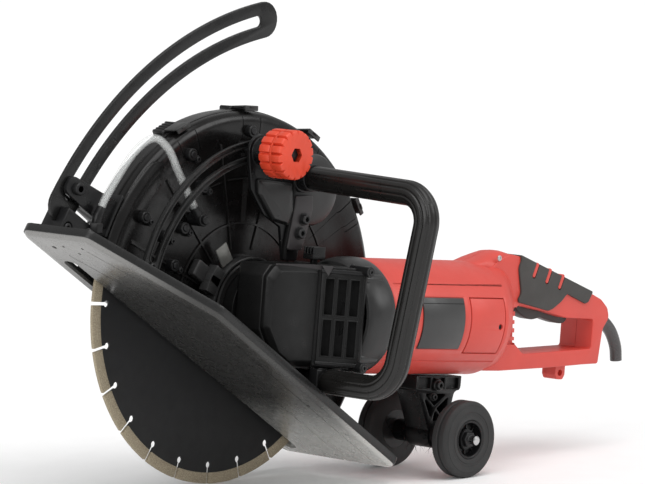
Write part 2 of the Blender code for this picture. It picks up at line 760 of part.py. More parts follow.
def make_support():
    left, top, right = 184, -58.6, 252
    outline = [
        (left, top), (left, -73), (188, -74), (206, -112), *arc(AXLE, 14, 160, 380, 10), (243, -74),
        (right, -73), (right, top),
    ]
    pockets = []
    hub = (214, -92)
    corners = ((193, -75.5), (237, -75.5), (231, -106), (211, -106))
    for one, two in zip(corners, (*corners[1:], corners[0])):
        middle = Vector(hub)
        a, b = Vector(one), Vector(two)
        centre = (middle + a + b) / 3
        triangle = [tuple(centre + (p - centre) * 0.72) for p in (middle, a, b)]
        pockets.append(prism("Y", -110, MOTOR_Y - 2, triangle))
        pockets.append(prism("Y", MOTOR_Y + 2, -60, triangle))
    saddle = rod("X", MOTOR, left - 5, right + 5, MOTOR_RADIUS + GAP, 48)
    solid(
        "support_bracket",
        prism("Y", -105, -75, outline),
        "black_plastic",
        add=(ring("Y", AXLE, -127, -53, 6.3, 11, 24),),
        cut=(joined(*pockets), saddle, rod("Y", AXLE, -130, -50, 6.3, 24)),
    )


def make_wheels():
    axle = ((-160, 0), (-160, 4.6), (-151, 4.6), (-151, 6), (-29, 6), (-29, 4.6), (-20, 4.6), (-20, 0))
    solid("wheel_axle", turned("Y", AXLE, axle, 20), "bright_steel")
    for side, middle in WHEEL_CENTRES.items():
        origin = (AXLE[0], middle, AXLE[1])
        half = WHEEL_WIDTH / 2
        out = -1 if side == "near" else 1
        hub = [
            (-half, 6.3), (half - 8, 6.3), (half - 8, 15.5), (half - 1, 17.5), (half - 1, WHEEL_HUB_RADIUS),
            (-half, WHEEL_HUB_RADIUS),
        ]
        tyre = [
            (-half, WHEEL_HUB_RADIUS + GAP), (half, WHEEL_HUB_RADIUS + GAP), (half, WHEEL_RADIUS - 3),
            (half - 2.5, WHEEL_RADIUS), (1.5, WHEEL_RADIUS), (0, WHEEL_RADIUS - 2), (-1.5, WHEEL_RADIUS),
            (2.5 - half, WHEEL_RADIUS), (-half, WHEEL_RADIUS - 3),
        ]
        for part, profile, sides, finish in (("wheel_hub", hub, 24, "black_plastic"), ("tyre", tyre, 32, "tyre")):
            placed_profile = [(middle + out * along, radius) for along, radius in profile]
            solid(f"{part}_{side}", turned("Y", AXLE, placed_profile, sides), finish, origin)


# ---------------------------------------------------------------- guard

def guard_outline(radius):
    """Side view of the hood: round above, cut off along the plate, and cleared behind the pivot."""
    front = on_plate(-math.sqrt(radius**2 - GUARD_CHORD**2), GUARD_CHORD)
    start = math.degrees(math.atan2(front[1], front[0]))
    clear = PIVOT_CLEARANCE
    below = 270 - math.degrees(PLATE_ANGLE)
    last = below + 48
    tip = Vector(around(PIVOT, clear, math.radians(last)))
    course = Vector((math.cos(math.radians(last + 90)), math.sin(math.radians(last + 90))))
    b = tip.dot(course)
    rear = tip + course * (math.sqrt(b * b - tip.length_squared + radius**2) - b)
    end = math.degrees(math.atan2(rear[1], rear[0]))
    return arc(SPINDLE, radius, end, start, RIM_STEPS) + arc(PIVOT, clear, below, last, 5)


def rim_hollow(low, high):
    """The space inside the rim. It runs out below, where the hood is open to the blade."""
    rim = guard_outline(GUARD_RADIUS - GUARD_WALL)[: RIM_STEPS + 1]
    below = [on_plate(-400, -400), on_plate(400, -400), (260, -190), (260, rim[0][1])]
    return prism("Y", low, high, [*rim, *below])


def make_guard_shells():
    posts = [
        rod("Y", around(SPINDLE, RAIL_RADIUS, math.radians(a)), RAIL_FAR + GAP, GUARD_NEAR + 1, 4.6, 12)
        for a in (92.6, 167.4)
    ]
    solid(
        "guard_inner_shell",
        prism("Y", GUARD_NEAR, GUARD_SPLIT, guard_outline(GUARD_RADIUS)),
        "black_plastic",
        add=(ring("Y", SPINDLE, -44, GUARD_NEAR + 1, 41.4, 49, 40), joined(*posts)),
        cut=(
            rim_hollow(GUARD_NEAR + GUARD_WALL, GUARD_SPLIT + 1),
            rod("Y", SPINDLE, -30, 0, 30, 32),
            rod("Y", PIVOT, -30, 0, 5.2, 12),
        ),
    )
    solid(
        "guard_outer_shell",
        prism("Y", GUARD_SPLIT + GAP, GUARD_FAR, guard_outline(GUARD_RADIUS)),
        "black_plastic",
        cut=(
            rim_hollow(GUARD_SPLIT - 1, GUARD_FAR - GUARD_WALL),
            rod("Y", SPINDLE, 0, 20, 26, 32),
            rod("Y", PIVOT, 0, 20, 5.2, 12),
        ),
    )


def make_guard_clips():
    """Spring latches that hold the two halves of the hood together over the rim."""
    for place, angle in CLIP_ANGLES.items():
        band = arc(SPINDLE, GUARD_RADIUS + 6, angle - 3.2, angle + 3.2, 3)
        band += arc(SPINDLE, GUARD_RADIUS + GAP, angle + 3.2, angle - 3.2, 3)
        solid(f"guard_clip_{place}", prism("Y", -22, 11, band), "black_plastic")


def make_guide_rail():
    band = arc_band(SPINDLE, RAIL_RADIUS, 11, 94, 166, 18)
    slot = arc_band(SPINDLE, RAIL_RADIUS, 4.4, 97.4, 162, 18)
    solid("guide_rail", prism("Y", RAIL_NEAR, RAIL_FAR, band, slot), "black_plastic")


def make_front_bracket():
    """A fork on the front of the hood that grips the depth arc from both sides."""
    clamp = around(PIVOT, ARC_RADIUS, CLAMP_ANGLE)
    inward = (Vector((0, 0)) - Vector(clamp)).normalized()
    across = Vector((-inward.y, inward.x))
    root = Vector(clamp) + inward * (Vector(clamp).length - GUARD_RADIUS - 1.2)
    tip = Vector(clamp) - inward * 12
    corners = [tuple(tip + across * 9), tuple(tip - across * 9), tuple(root - across * 15), tuple(root + across * 15)]
    gap = arc_band(PIVOT, ARC_RADIUS, ARC_HALF_WIDTH + 2, 90, 200, 30)
    solid(
        "front_bracket",
        prism("Y", -18, -2, corners),
        "black_plastic",
        cut=(prism("Y", ARC_NEAR - 0.5, ARC_FAR + 0.5, gap),),
    )


def hose_route():
    return smooth_route((
        (-203, -27, 92), (-193, -27, 110), (-168, -30, 147), (-146, -34, 164), (-126, -36, 155),
        (-108, -36, 131), (-78, -36, 92),
    ), 5)


def make_water_line():
    route = hose_route()
    solid("water_hose", swept(route, [4.0] * len(route), 8), "clear_hose")


def make_pivot_bolts():
    solid("pivot_bolt_near", bolt("Y", PIVOT, -31.3, -16, 8, 5, 4.8), "black_steel")
    solid("pivot_bolt_far", bolt("Y", PIVOT, 20.3, 6, 8, 5, 4.8), "black_steel")


# ---------------------------------------------------------------- base plate

PLATE_OUTLINE = (
    (-260.7, 14), (-260.7, -65), (-256, -72), (-124, -137), (183, -131), (193, -123), (190, 17), (182, 25), (-250, 25),
)
SLOT = ((-208, 9), (-208, -9), (176, -9), (176, 9))


def shrunk(outline, inset):
    """The outline moved inwards by an inset."""
    count = len(outline)
    points = []
    for i in range(count):
        before, here, after = (Vector(outline[(i + k) % count]) for k in (-1, 0, 1))
        one = (here - before).normalized()
        two = (after - here).normalized()
        bisector = (Vector((-one.y, one.x)) + Vector((-two.y, two.x))).normalized()
        reach = inset / bisector.dot(Vector((-one.y, one.x)))
        points.append(tuple(here + bisector * reach))
    return points


def pivot_ear(low, high):
    """One of the plate's two upright ears, which carry the tilting pivot."""
    pivot_u = PIVOT[0] * math.cos(PLATE_ANGLE) - PIVOT[1] * math.sin(PLATE_ANGLE)
    foot = PLATE_TOP - PLATE_THICKNESS / 2
    outline = [on_plate(pivot_u + 22, foot), *arc(PIVOT, 12, -25, 150, 8), on_plate(pivot_u - 26, foot)]
    return prism("Y", low, high, outline, circle(PIVOT, 5.2, 12))


def make_base_plate():
    """A pressed sheet with a turned-up edge, a slot for the blade, and the pivot's ears."""
    low = PLATE_TOP - PLATE_THICKNESS
    tray = laid_on_plate(prism("Z", PLATE_TOP, FLANGE_TOP + 5, shrunk(PLATE_OUTLINE, PLATE_THICKNESS)))
    solid(
        "base_plate",
        laid_on_plate(prism("Z", low, FLANGE_TOP, PLATE_OUTLINE, SLOT)),
        "black_steel",
        (PIVOT[0], 0, PIVOT[1]),
        cut=(tray,),
        add_last=(joined(pivot_ear(-31, -28), pivot_ear(17, 20)),),
    )


def make_depth_arc():
    origin = (PIVOT[0], 0, PIVOT[1])
    band = arc_band(PIVOT, ARC_RADIUS, ARC_HALF_WIDTH, 103, 150.2, 22)
    slot = arc_band(PIVOT, ARC_RADIUS, ARC_SLOT_HALF_WIDTH, 104.4, 148.6, 22)
    solid("depth_arc", prism("Y", ARC_NEAR, ARC_FAR, band, slot), "black_steel", origin)


def make_arc_block():
    """The block at the front of the plate that holds the arc's lower end."""
    block = laid_on_plate(box((-256, -24, PLATE_TOP + GAP), (-214, 4, -36)))
    pocket = arc_band(PIVOT, ARC_RADIUS, ARC_HALF_WIDTH + 0.4, 100, 150.2, 22)
    cut = (prism("Y", ARC_NEAR - GAP, ARC_FAR + GAP, pocket),)
    solid("arc_block", block, "black_plastic", (PIVOT[0], 0, PIVOT[1]), cut=cut)


# ---------------------------------------------------------------- the whole saw

clear_scene()
stance = bpy.data.objects.new("saw_stance", None)
bpy.context.collection.objects.link(stance)
stance.rotation_euler = (0, STANCE_TILT, 0)
stance.location = (FOOTPRINT_SHIFT_X * MM, FOOTPRINT_SHIFT_Y * MM, BLADE_RADIUS * MM)

make_blade()
make_flanges()
make_spindle()
make_crown_gear()
make_spindle_bearings()
make_gear_case()
make_gear_case_cap()
make_vent_grille()
make_fan_housing()
make_motor_housing()
make_motor_inside()
make_armature()
make_rear_handle()
make_grip_pad()
make_trigger()
make_lock_button()
make_handle_inside()
make_front_handle()
make_handle_bracket()
make_clamp_knob()
make_spindle_lock()
make_support()
make_wheels()
make_guard_shells()
make_guard_clips()
make_guide_rail()
make_front_bracket()
make_water_line()
make_pivot_bolts()
make_base_plate()
make_depth_arc()
make_arc_block()
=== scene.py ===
"""The looks of the cut-off saw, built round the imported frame.

Shapes are drawn in the saw's own level frame, in millimetres, as in the CAD: the blade's centre is the
origin, +X runs back along the motor, the motor is on the -Y side of the blade and Z is up. SAW takes that
frame to the row frame in metres, and every piece is stored there.
"""

import json
import math

import bmesh
import bpy
from mathutils import Matrix, Vector


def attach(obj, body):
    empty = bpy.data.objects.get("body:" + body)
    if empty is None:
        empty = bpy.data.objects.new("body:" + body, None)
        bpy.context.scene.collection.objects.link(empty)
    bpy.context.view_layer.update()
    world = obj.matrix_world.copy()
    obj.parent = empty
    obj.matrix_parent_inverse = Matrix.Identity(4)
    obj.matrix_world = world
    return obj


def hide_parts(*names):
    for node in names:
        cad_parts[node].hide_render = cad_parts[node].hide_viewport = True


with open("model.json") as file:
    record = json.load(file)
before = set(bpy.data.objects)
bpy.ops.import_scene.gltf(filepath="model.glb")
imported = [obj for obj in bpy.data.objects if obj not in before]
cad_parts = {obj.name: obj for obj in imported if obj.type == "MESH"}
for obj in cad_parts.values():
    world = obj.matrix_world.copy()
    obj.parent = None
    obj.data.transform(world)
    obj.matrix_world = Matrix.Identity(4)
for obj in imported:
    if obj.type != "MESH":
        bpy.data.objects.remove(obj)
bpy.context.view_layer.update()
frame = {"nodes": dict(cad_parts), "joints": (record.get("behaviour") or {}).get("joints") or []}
JOINTS = {joint["name"]: joint for joint in frame["joints"]}
MM = 0.001
STANCE_TILT = math.radians(5.3)
SAW = (
    Matrix.Translation(JOINTS["blade_spin"]["pos_m"])
    @ Matrix.Rotation(STANCE_TILT, 4, "Y")
    @ Matrix.Scale(MM, 4)
)

# Driving sizes, the same as in the CAD.
SPINDLE = (0.0, 0.0)
BLADE_RADIUS = 177.5
CORE_RADIUS = 167.0
BLADE_SEGMENTS = 24
GULLET_DEPTH, GULLET_HOLE, GULLET_HALF_WIDTH = 159.0, 3.4, 1.6
GUARD_RADIUS = 195.0
GUARD_SPLIT = -6.0
GUARD_CHORD = -61.0
HOOD_RIM, HOOD_RIM_INSIDE = 196.4, 192.0
RAIL_RADIUS = 159.0
KNOB_ANGLE = math.radians(98.0)
CLIP_ANGLES = {"front": 118.0, "top": 90.0, "rear": 62.0, "lower": 32.0}
PLATE_ANGLE = math.radians(28.6)
PLATE_TOP, PLATE_THICKNESS, FLANGE_TOP = -64.4, 3.0, -56.0
PIVOT = (111.0, -104.0)
PIVOT_HOLE = 5.2
ARC_RADIUS, ARC_HALF_WIDTH, ARC_SLOT_HALF = 401.0, 18.0, 5.5
ARC_NEAR, ARC_FAR = -12.0, -8.0
CLAMP_ANGLE = math.radians(147.5)
MOTOR_Y, MOTOR_RADIUS = -90.0, 58.0
MOTOR = (MOTOR_Y, 0.0)
AXLE = (221.0, -118.5)
AXLE_BORE = 6.3
WHEEL_RADIUS, WHEEL_HUB_RADIUS, WHEEL_WIDTH = 38.9, 19.6, 20.0
WHEEL_CENTRES = {"near": -141.0, "far": -39.0}
HANDLE_NEAR, HANDLE_FAR = -112.0, -68.0
HANDLE_ROUTE = ((39, -62.8, 135), (39, -236, 129), (36, -206, -63.2), (36, -78, -63.2))
HANDLE_BENDS = (28, 34)
BAR_RADIUS, BAR_COVER_RADIUS = 9.5, 10.6
KNOB = (RAIL_RADIUS * math.cos(KNOB_ANGLE), RAIL_RADIUS * math.sin(KNOB_ANGLE))
KNOB_BORE, KNOB_RADIUS, KNOB_FLUTE_DEPTH, KNOB_LOBES = 3.9, 24.4, 3.2, 16


# ---------------------------------------------------------------- shapes, in millimetres

def arc(centre, radius, start, end, steps):
    """Points on a circle from one angle to another, both in degrees."""
    angles = (math.radians(start + (end - start) * i / steps) for i in range(steps + 1))
    return [(centre[0] + radius * math.cos(a), centre[1] + radius * math.sin(a)) for a in angles]


def quarter(steps):
    """Angles in radians that share a quarter turn out evenly, both ends included."""
    return [math.pi / 2 * k / steps for k in range(steps + 1)]


def circle(centre, radius, sides):
    return arc(centre, radius, 0, 360 * (sides - 1) / sides, sides - 1)


def around(centre, radius, angle):
    return (centre[0] + radius * math.cos(angle), centre[1] + radius * math.sin(angle))


def arc_band(centre, radius, half_width, start, end, steps):
    """Outline of a curved strip with round ends, between two angles in degrees."""
    tip = around(centre, radius, math.radians(end))
    root = around(centre, radius, math.radians(start))
    outer = arc(centre, radius + half_width, start, end, steps)
    inner = arc(centre, radius - half_width, end, start, steps)
    return (outer + arc(tip, half_width, end, end + 180, 12)[1:-1]
            + inner + arc(root, half_width, start + 180, start + 360, 12)[1:-1])


def softened(outline, rounds, keep):
    """The closed outline with its corners cut again and again, which turns them into curves."""
    points = [Vector(p) for p in outline]
    for _ in range(rounds):
        points = [
            q for a, b in zip(points, points[1:] + points[:1])
            for q in (a.lerp(b, keep), a.lerp(b, 1 - keep))
        ]
    return [tuple(p) for p in points]


def rounded(outline, radius, steps=5):
    """The closed outline with each corner turned into an arc. radius is one number or one per corner."""
    count = len(outline)
    radii = radius if isinstance(radius, (list, tuple)) else [radius] * count
    points = []
    for i in range(count):
        here = Vector(outline[i])
        back = Vector(outline[i - 1]) - here
        ahead = Vector(outline[(i + 1) % count]) - here
        half = back.angle(ahead) / 2
        if radii[i] <= 0 or half > 1.53:
            points.append(tuple(here))
            continue
        reach = min(radii[i] / math.tan(half), back.length * 0.48, ahead.length * 0.48)
        bend = reach * math.tan(half)
        middle = here + (back.normalized() + ahead.normalized()).normalized() * (bend / math.sin(half))
        first = here + back.normalized() * reach - middle
        last = here + ahead.normalized() * reach - middle
        turn = first.angle_signed(last)
        for k in range(steps + 1):
            points.append(tuple(middle + Matrix.Rotation(-turn * k / steps, 2) @ first))
    return points


def placed(axis, along, point):
    """A point of a profile drawn square to an axis: (x, z) for Y, (y, z) for X and (x, y) for Z."""
    if axis == "X":
        return Vector((along, point[0], point[1]))
    if axis == "Y":
        return Vector((point[0], along, point[1]))
    return Vector((point[0], point[1], along))


def prism(axis, low, high, outline, *holes):
    """An outline, with any holes, extruded along an axis."""
    bm = bmesh.new()
    for loop in (outline, *holes):
        verts = [bm.verts.new(placed(axis, low, p)) for p in loop]
        for i, vert in enumerate(verts):
            bm.edges.new((vert, verts[i - 1]))
    bmesh.ops.triangle_fill(bm, use_beauty=True, use_dissolve=False, edges=bm.edges[:])
    grown = bmesh.ops.extrude_face_region(bm, geom=bm.faces[:])
    moved = [item for item in grown["geom"] if isinstance(item, bmesh.types.BMVert)]
    bmesh.ops.translate(bm, verts=moved, vec=placed(axis, high - low, (0, 0)))
    bmesh.ops.recalc_face_normals(bm, faces=bm.faces[:])
    return bm


def turned(axis, centre, profile, sides):
    """A profile of (along, radius) points turned about an axis. It is a ring unless it meets the axis."""
    bm = bmesh.new()
    rings = []
    for along, radius in profile:
        if radius == 0:
            rings.append([bm.verts.new(placed(axis, along, centre))])
        else:
            rings.append([bm.verts.new(placed(axis, along, p)) for p in circle(centre, radius, sides)])
    pairs = list(zip(rings, rings[1:]))
    if all(radius > 0 for _, radius in profile):
        pairs.append((rings[-1], rings[0]))
    for one, two in pairs:
        for i in range(sides):
            corners = (one[i % len(one)], one[(i + 1) % len(one)], two[(i + 1) % len(two)], two[i % len(two)])
            bm.faces.new(list(dict.fromkeys(corners)))
    bmesh.ops.recalc_face_normals(bm, faces=bm.faces[:])
    return bm


def ring(axis, centre, low, high, bore, radius, sides):
    return turned(axis, centre, ((low, bore), (high, bore), (high, radius), (low, radius)), sides)


def rod(axis, centre, low, high, radius, sides):
    return prism(axis, low, high, circle(centre, radius, sides))


def soft_disc(axis, centre, low, high, radius, edge, sides=32):
    """A short cylinder with rounded rims."""
    profile = [(low, 0.0)]
    profile += [(low + edge - edge * math.sin(a), radius - edge + edge * math.cos(a))
                for a in reversed(quarter(4))]
    profile += [(high - edge + edge * math.sin(a), radius - edge + edge * math.cos(a)) for a in quarter(4)]
    return turned(axis, centre, [*profile, (high, 0.0)], sides)


def box(low, high):
    bm = bmesh.new()
    middle = [(a + b) / 2 for a, b in zip(low, high)]
    size = [b - a for a, b in zip(low, high)]
    bmesh.ops.create_cube(bm, size=1, matrix=Matrix.Translation(middle) @ Matrix.Diagonal((*size, 1)))
    return bm


def lofted(sections):
    """A solid through loops of points, each the same length, with flat ends."""
    bm = bmesh.new()
    rings = [[bm.verts.new(p) for p in section] for section in sections]
    for one, two in zip(rings, rings[1:]):
        for i in range(len(one)):
            bm.faces.new((one[i - 1], one[i], two[i], two[i - 1]))
    bm.faces.new(rings[0])
    bm.faces.new(rings[-1])
    bmesh.ops.recalc_face_normals(bm, faces=bm.faces[:])
    return bm


def joined(*shapes):
    """Separate shapes in one bmesh."""
    whole = shapes[0]
    for shape in shapes[1:]:
        copy = bpy.data.meshes.new("scratch")
        shape.to_mesh(copy)
        whole.from_mesh(copy)
        bpy.data.meshes.remove(copy)
        shape.free()
    return whole


def moved(bm, matrix):
    bmesh.ops.transform(bm, verts=bm.verts[:], matrix=matrix)
    return bm


def rounded_route(corners, bends, steps):
    """A route through corners, with each inner corner rounded to its bend radius."""
    points = [Vector(corners[0])]
    for before, corner, after, bend in zip(corners, corners[1:], corners[2:], bends):
        corner = Vector(corner)
        back = (Vector(before) - corner).normalized()
        ahead = (Vector(after) - corner).normalized()
        half = back.angle(ahead) / 2
        reach = bend / math.tan(half)
        middle = corner + (back + ahead).normalized() * (bend / math.sin(half))
        first = corner + back * reach - middle
        last = corner + ahead * reach - middle
        for i in range(steps + 1):
            points.append(middle + first.slerp(last, i / steps) * bend)
    points.append(Vector(corners[-1]))
    return points


def smooth_route(corners, steps):
    """Points on a Catmull-Rom curve through the corners."""
    corners = [Vector(c) for c in corners]
    ends = [2 * corners[0] - corners[1], *corners, 2 * corners[-1] - corners[-2]]
    points = []
    for p0, p1, p2, p3 in zip(ends, ends[1:], ends[2:], ends[3:]):
        for i in range(steps):
            t = i / steps
            points.append(
                0.5 * (2 * p1 + (p2 - p0) * t + (2 * p0 - 5 * p1 + 4 * p2 - p3) * t**2
                       + (3 * p1 - p0 - 3 * p2 + p3) * t**3)
            )
    return [*points, corners[-1]]


def swept(route, radius_at, sides, bore=0.0):
    """A bar along a route, or a tube when it has a bore. radius_at gives the radius from the share of the
    route that is behind a point and from the angle round the bar."""
    bm = bmesh.new()
    tangents = [(b - a).normalized() for a, b in zip(route, route[1:])]
    tangents = [tangents[0], *((a + b).normalized() for a, b in zip(tangents, tangents[1:])), tangents[-1]]
    lengths = [0.0]
    for a, b in zip(route, route[1:]):
        lengths.append(lengths[-1] + (b - a).length)
    side = tangents[0].orthogonal().normalized()
    loops = []
    for point, tangent, length in zip(route, tangents, lengths):
        side = (side - tangent * side.dot(tangent)).normalized()
        other = tangent.cross(side)
        turns = [math.tau * i / sides for i in range(sides)]
        spokes = [side * math.cos(t) + other * math.sin(t) for t in turns]
        share = length / lengths[-1]
        outer = [bm.verts.new(point + s * radius_at(share, t)) for s, t in zip(spokes, turns)]
        inner = [bm.verts.new(point + s * bore) for s in spokes] if bore else None
        loops.append((outer, inner))
    for (out_a, in_a), (out_b, in_b) in zip(loops, loops[1:]):
        for i in range(sides):
            bm.faces.new((out_a[i - 1], out_a[i], out_b[i], out_b[i - 1]))
            if bore:
                bm.faces.new((in_a[i], in_a[i - 1], in_b[i - 1], in_b[i]))
    for outer, inner in (loops[0], loops[-1]):
        if bore:
            for i in range(sides):
                bm.faces.new((outer[i - 1], outer[i], inner[i], inner[i - 1]))
        else:
            bm.faces.new(outer)
    bmesh.ops.recalc_face_normals(bm, faces=bm.faces[:])
    return bm


def steady(radius):
    """The same radius all along a bar, for swept."""
    return lambda share, turn: radius


def denser(route, spacing):
    """The route with points no further apart than the spacing."""
    points = []
    for a, b in zip(route, route[1:]):
        count = max(1, math.ceil((b - a).length / spacing))
        points += [a.lerp(b, k / count) for k in range(count)]
    return [*points, route[-1]]


def on_plate(u, n):
    """A point of the saw's XZ plane, from its place along and above the plate's direction."""
    return (
        u * math.cos(PLATE_ANGLE) + n * math.sin(PLATE_ANGLE),
        n * math.cos(PLATE_ANGLE) - u * math.sin(PLATE_ANGLE),
    )


ON_PLATE = Matrix.Rotation(PLATE_ANGLE, 4, "Y")


def smoothstep(low, high, x):
    t = min(1.0, max(0.0, (x - low) / (high - low)))
    return t * t * (3 - 2 * t)


# ---------------------------------------------------------------- fasteners

def socket_screw(axis, centre, seat, out, radius, height, sides=24):
    """A cap screw's head with a hexagon socket. out is the direction of the head along the axis, 1 or -1."""
    top = seat + out * height
    floor = seat + out * height * 0.35
    socket = radius * 0.52
    profile = (
        (seat, radius), (top - out * radius * 0.16, radius), (top, radius * 0.84), (top, socket * 1.12),
        (top - out * 0.2, socket * 1.05), (floor, socket), (seat, socket),
    )
    cup = prism(axis, *sorted((seat, floor)), circle(centre, socket + 0.05, 12))
    low, high = sorted((floor, top - out * 0.25))
    flats = prism(axis, low, high, circle(centre, socket + 0.35, 24), circle(centre, socket, 6))
    return joined(turned(axis, centre, profile, sides), cup, flats)


def hex_nut(axis, centre, low, high, radius):
    """A hexagon nut with its corners turned off on both faces."""
    def corner(share, edge):
        return [placed(axis, low + (high - low) * share, p) for p in circle(centre, radius * edge, 6)]

    return lofted([corner(0, 0.9), corner(0.16, 1), corner(0.84, 1), corner(1, 0.9)])


def boss(axis, centre, base, top, radius, sides=28):
    """A round moulded pillar, a little wider at its base, with a screw sunk in its head."""
    out = math.copysign(1, top - base)
    profile = (
        (base, 0), (base, radius * 1.18), (base + out * 1.2, radius), (top - out * 0.7, radius * 0.97),
        (top, radius * 0.86), (top, radius * 0.62), (top - out * 1.6, radius * 0.6), (top - out * 1.6, 0),
    )
    return turned(axis, centre, profile, sides)


# ---------------------------------------------------------------- materials

def colour(red, green, blue):
    """A colour given as it looks on a screen, 0 to 255, as the linear values that a shader takes."""
    return tuple(
        (c / 255 / 12.92 if c <= 10.3 else ((c / 255 + 0.055) / 1.055) ** 2.4) for c in (red, green, blue)
    )


MOTTLE_SIZE = 40.0
BUMP_HEIGHT = 0.00015


def surface(
    name, base, roughness, metallic=0.0, specular=0.5, grain=0.25, grain_size=0.6, mottle=0.12,
    rough_spread=0.12, edge_wear_and_highlight=0.0, brushed=None, alpha=1.0,
):
    """A procedural finish. grain is the bump of the fine moulded or cast texture and grain_size its size in
    millimetres. mottle is the slow drift of the colour, over MOTTLE_SIZE millimetres, and rough_spread that
    of the roughness. The edge wear setting lightens the outer edges, partly as wear and partly as a painted
    highlight, and brushed scales the texture along X, Y and Z."""
    made = bpy.data.materials.new(name)
    made.use_nodes = True
    nodes, links = made.node_tree.nodes, made.node_tree.links
    shader = nodes["Principled BSDF"]
    shader.inputs["Metallic"].default_value = metallic
    shader.inputs["Specular IOR Level"].default_value = specular
    shader.inputs["Alpha"].default_value = alpha
    place = nodes.new("ShaderNodeTexCoord").outputs["Object"]
    if brushed:
        stretch = nodes.new("ShaderNodeMapping")
        stretch.inputs["Scale"].default_value = brushed
        links.new(place, stretch.inputs["Vector"])
        place = stretch.outputs["Vector"]

    def noise(size_mm, detail):
        node = nodes.new("ShaderNodeTexNoise")
        node.inputs["Scale"].default_value = 1000.0 / size_mm
        node.inputs["Detail"].default_value = detail
        links.new(place, node.inputs["Vector"])
        return node.outputs["Fac"]

    def spread(value, low, high):
        node = nodes.new("ShaderNodeMapRange")
        node.inputs["From Min"].default_value = 0.3
        node.inputs["From Max"].default_value = 0.7
        node.inputs["To Min"].default_value = low
        node.inputs["To Max"].default_value = high
        links.new(value, node.inputs["Value"])
        return node.outputs["Result"]

    drift = noise(MOTTLE_SIZE, 4.0)
    fine = noise(grain_size, 2.0)
    tint = nodes.new("ShaderNodeMix")
    tint.data_type = "RGBA"
    tint.inputs["A"].default_value = (*(c * (1 - mottle) for c in base), 1)
    tint.inputs["B"].default_value = (*(min(1.0, c * (1 + mottle)) for c in base), 1)
    links.new(spread(drift, 0.0, 1.0), tint.inputs["Factor"])
    result = tint.outputs["Result"]
    # The outer edges are lightened by pointiness: partly wear, partly a painted highlight along the edges.
    if edge_wear_and_highlight:
        edge = nodes.new("ShaderNodeMapRange")
        edge.inputs["From Min"].default_value = 0.52
        edge.inputs["From Max"].default_value = 0.62
        edge.inputs["To Max"].default_value = edge_wear_and_highlight
        links.new(nodes.new("ShaderNodeNewGeometry").outputs["Pointiness"], edge.inputs["Value"])
        worn_and_highlighted = nodes.new("ShaderNodeMix")
        worn_and_highlighted.data_type = "RGBA"
        worn_and_highlighted.inputs["B"].default_value = (*(c * 0.4 + 0.12 for c in base), 1)
        links.new(result, worn_and_highlighted.inputs["A"])
        links.new(edge.outputs["Result"], worn_and_highlighted.inputs["Factor"])
        result = worn_and_highlighted.outputs["Result"]
    links.new(result, shader.inputs["Base Color"])
    smoothest = max(0.02, roughness - rough_spread / 2)
    patches = spread(noise(MOTTLE_SIZE * 0.3, 3.0), smoothest, roughness + rough_spread / 2)
    links.new(patches, shader.inputs["Roughness"])
    bump = nodes.new("ShaderNodeBump")
    bump.inputs["Strength"].default_value = grain
    bump.inputs["Distance"].default_value = BUMP_HEIGHT
    links.new(fine, bump.inputs["Height"])
    links.new(bump.outputs["Normal"], shader.inputs["Normal"])
    return made


def speckled(name, base, chips, size, roughness):
    """A sintered or granular finish: pale and dark grains of a size in millimetres."""
    made = surface(name, base, roughness, grain=0.6, grain_size=size)
    nodes, links = made.node_tree.nodes, made.node_tree.links
    shader = nodes["Principled BSDF"]
    cells = nodes.new("ShaderNodeTexVoronoi")
    cells.inputs["Scale"].default_value = 1000.0 / size
    links.new(nodes.new("ShaderNodeTexCoord").outputs["Object"], cells.inputs["Vector"])
    ramp = nodes.new("ShaderNodeMapRange")
    ramp.inputs["From Min"].default_value = 0.15
    ramp.inputs["From Max"].default_value = 0.75
    links.new(cells.outputs["Distance"], ramp.inputs["Value"])
    mix = nodes.new("ShaderNodeMix")
    mix.data_type = "RGBA"
    mix.inputs["B"].default_value = (*chips, 1)
    links.new(shader.inputs["Base Color"].links[0].from_socket, mix.inputs["A"])
    links.new(ramp.outputs["Result"], mix.inputs["Factor"])
    links.new(mix.outputs["Result"], shader.inputs["Base Color"])
    return made


def reflection_painted_coat(name, stops, low, high, roughness, metallic):
    """A coat whose tone changes along the saw: a painted reflection of the bright surroundings, light where
    the coat would mirror them and dark between. Each stop is a tone and its share of the way from low to
    high, which are places along the shared frame's X in metres."""
    made = surface(name, stops[0][1], roughness, metallic=metallic, grain=0.03, grain_size=1.4, mottle=0.04)
    nodes, links = made.node_tree.nodes, made.node_tree.links
    shader = nodes["Principled BSDF"]
    apart = nodes.new("ShaderNodeSeparateXYZ")
    links.new(nodes.new("ShaderNodeTexCoord").outputs["Object"], apart.inputs["Vector"])
    along = nodes.new("ShaderNodeMapRange")
    along.inputs["From Min"].default_value = low
    along.inputs["From Max"].default_value = high
    links.new(apart.outputs["X"], along.inputs["Value"])
    ramp = nodes.new("ShaderNodeValToRGB")
    ramp.color_ramp.interpolation = "EASE"
    while len(ramp.color_ramp.elements) < len(stops):
        ramp.color_ramp.elements.new(0.5)
    for element, (share, tone) in zip(ramp.color_ramp.elements, stops):
        element.position = share
        element.color = (*tone, 1)
    links.new(along.outputs["Result"], ramp.inputs["Fac"])
    mix = nodes.new("ShaderNodeMix")
    mix.data_type = "RGBA"
    mix.inputs["Factor"].default_value = 0.85
    links.new(shader.inputs["Base Color"].links[0].from_socket, mix.inputs["A"])
    links.new(ramp.outputs["Color"], mix.inputs["B"])
    links.new(mix.outputs["Result"], shader.inputs["Base Color"])
    return made


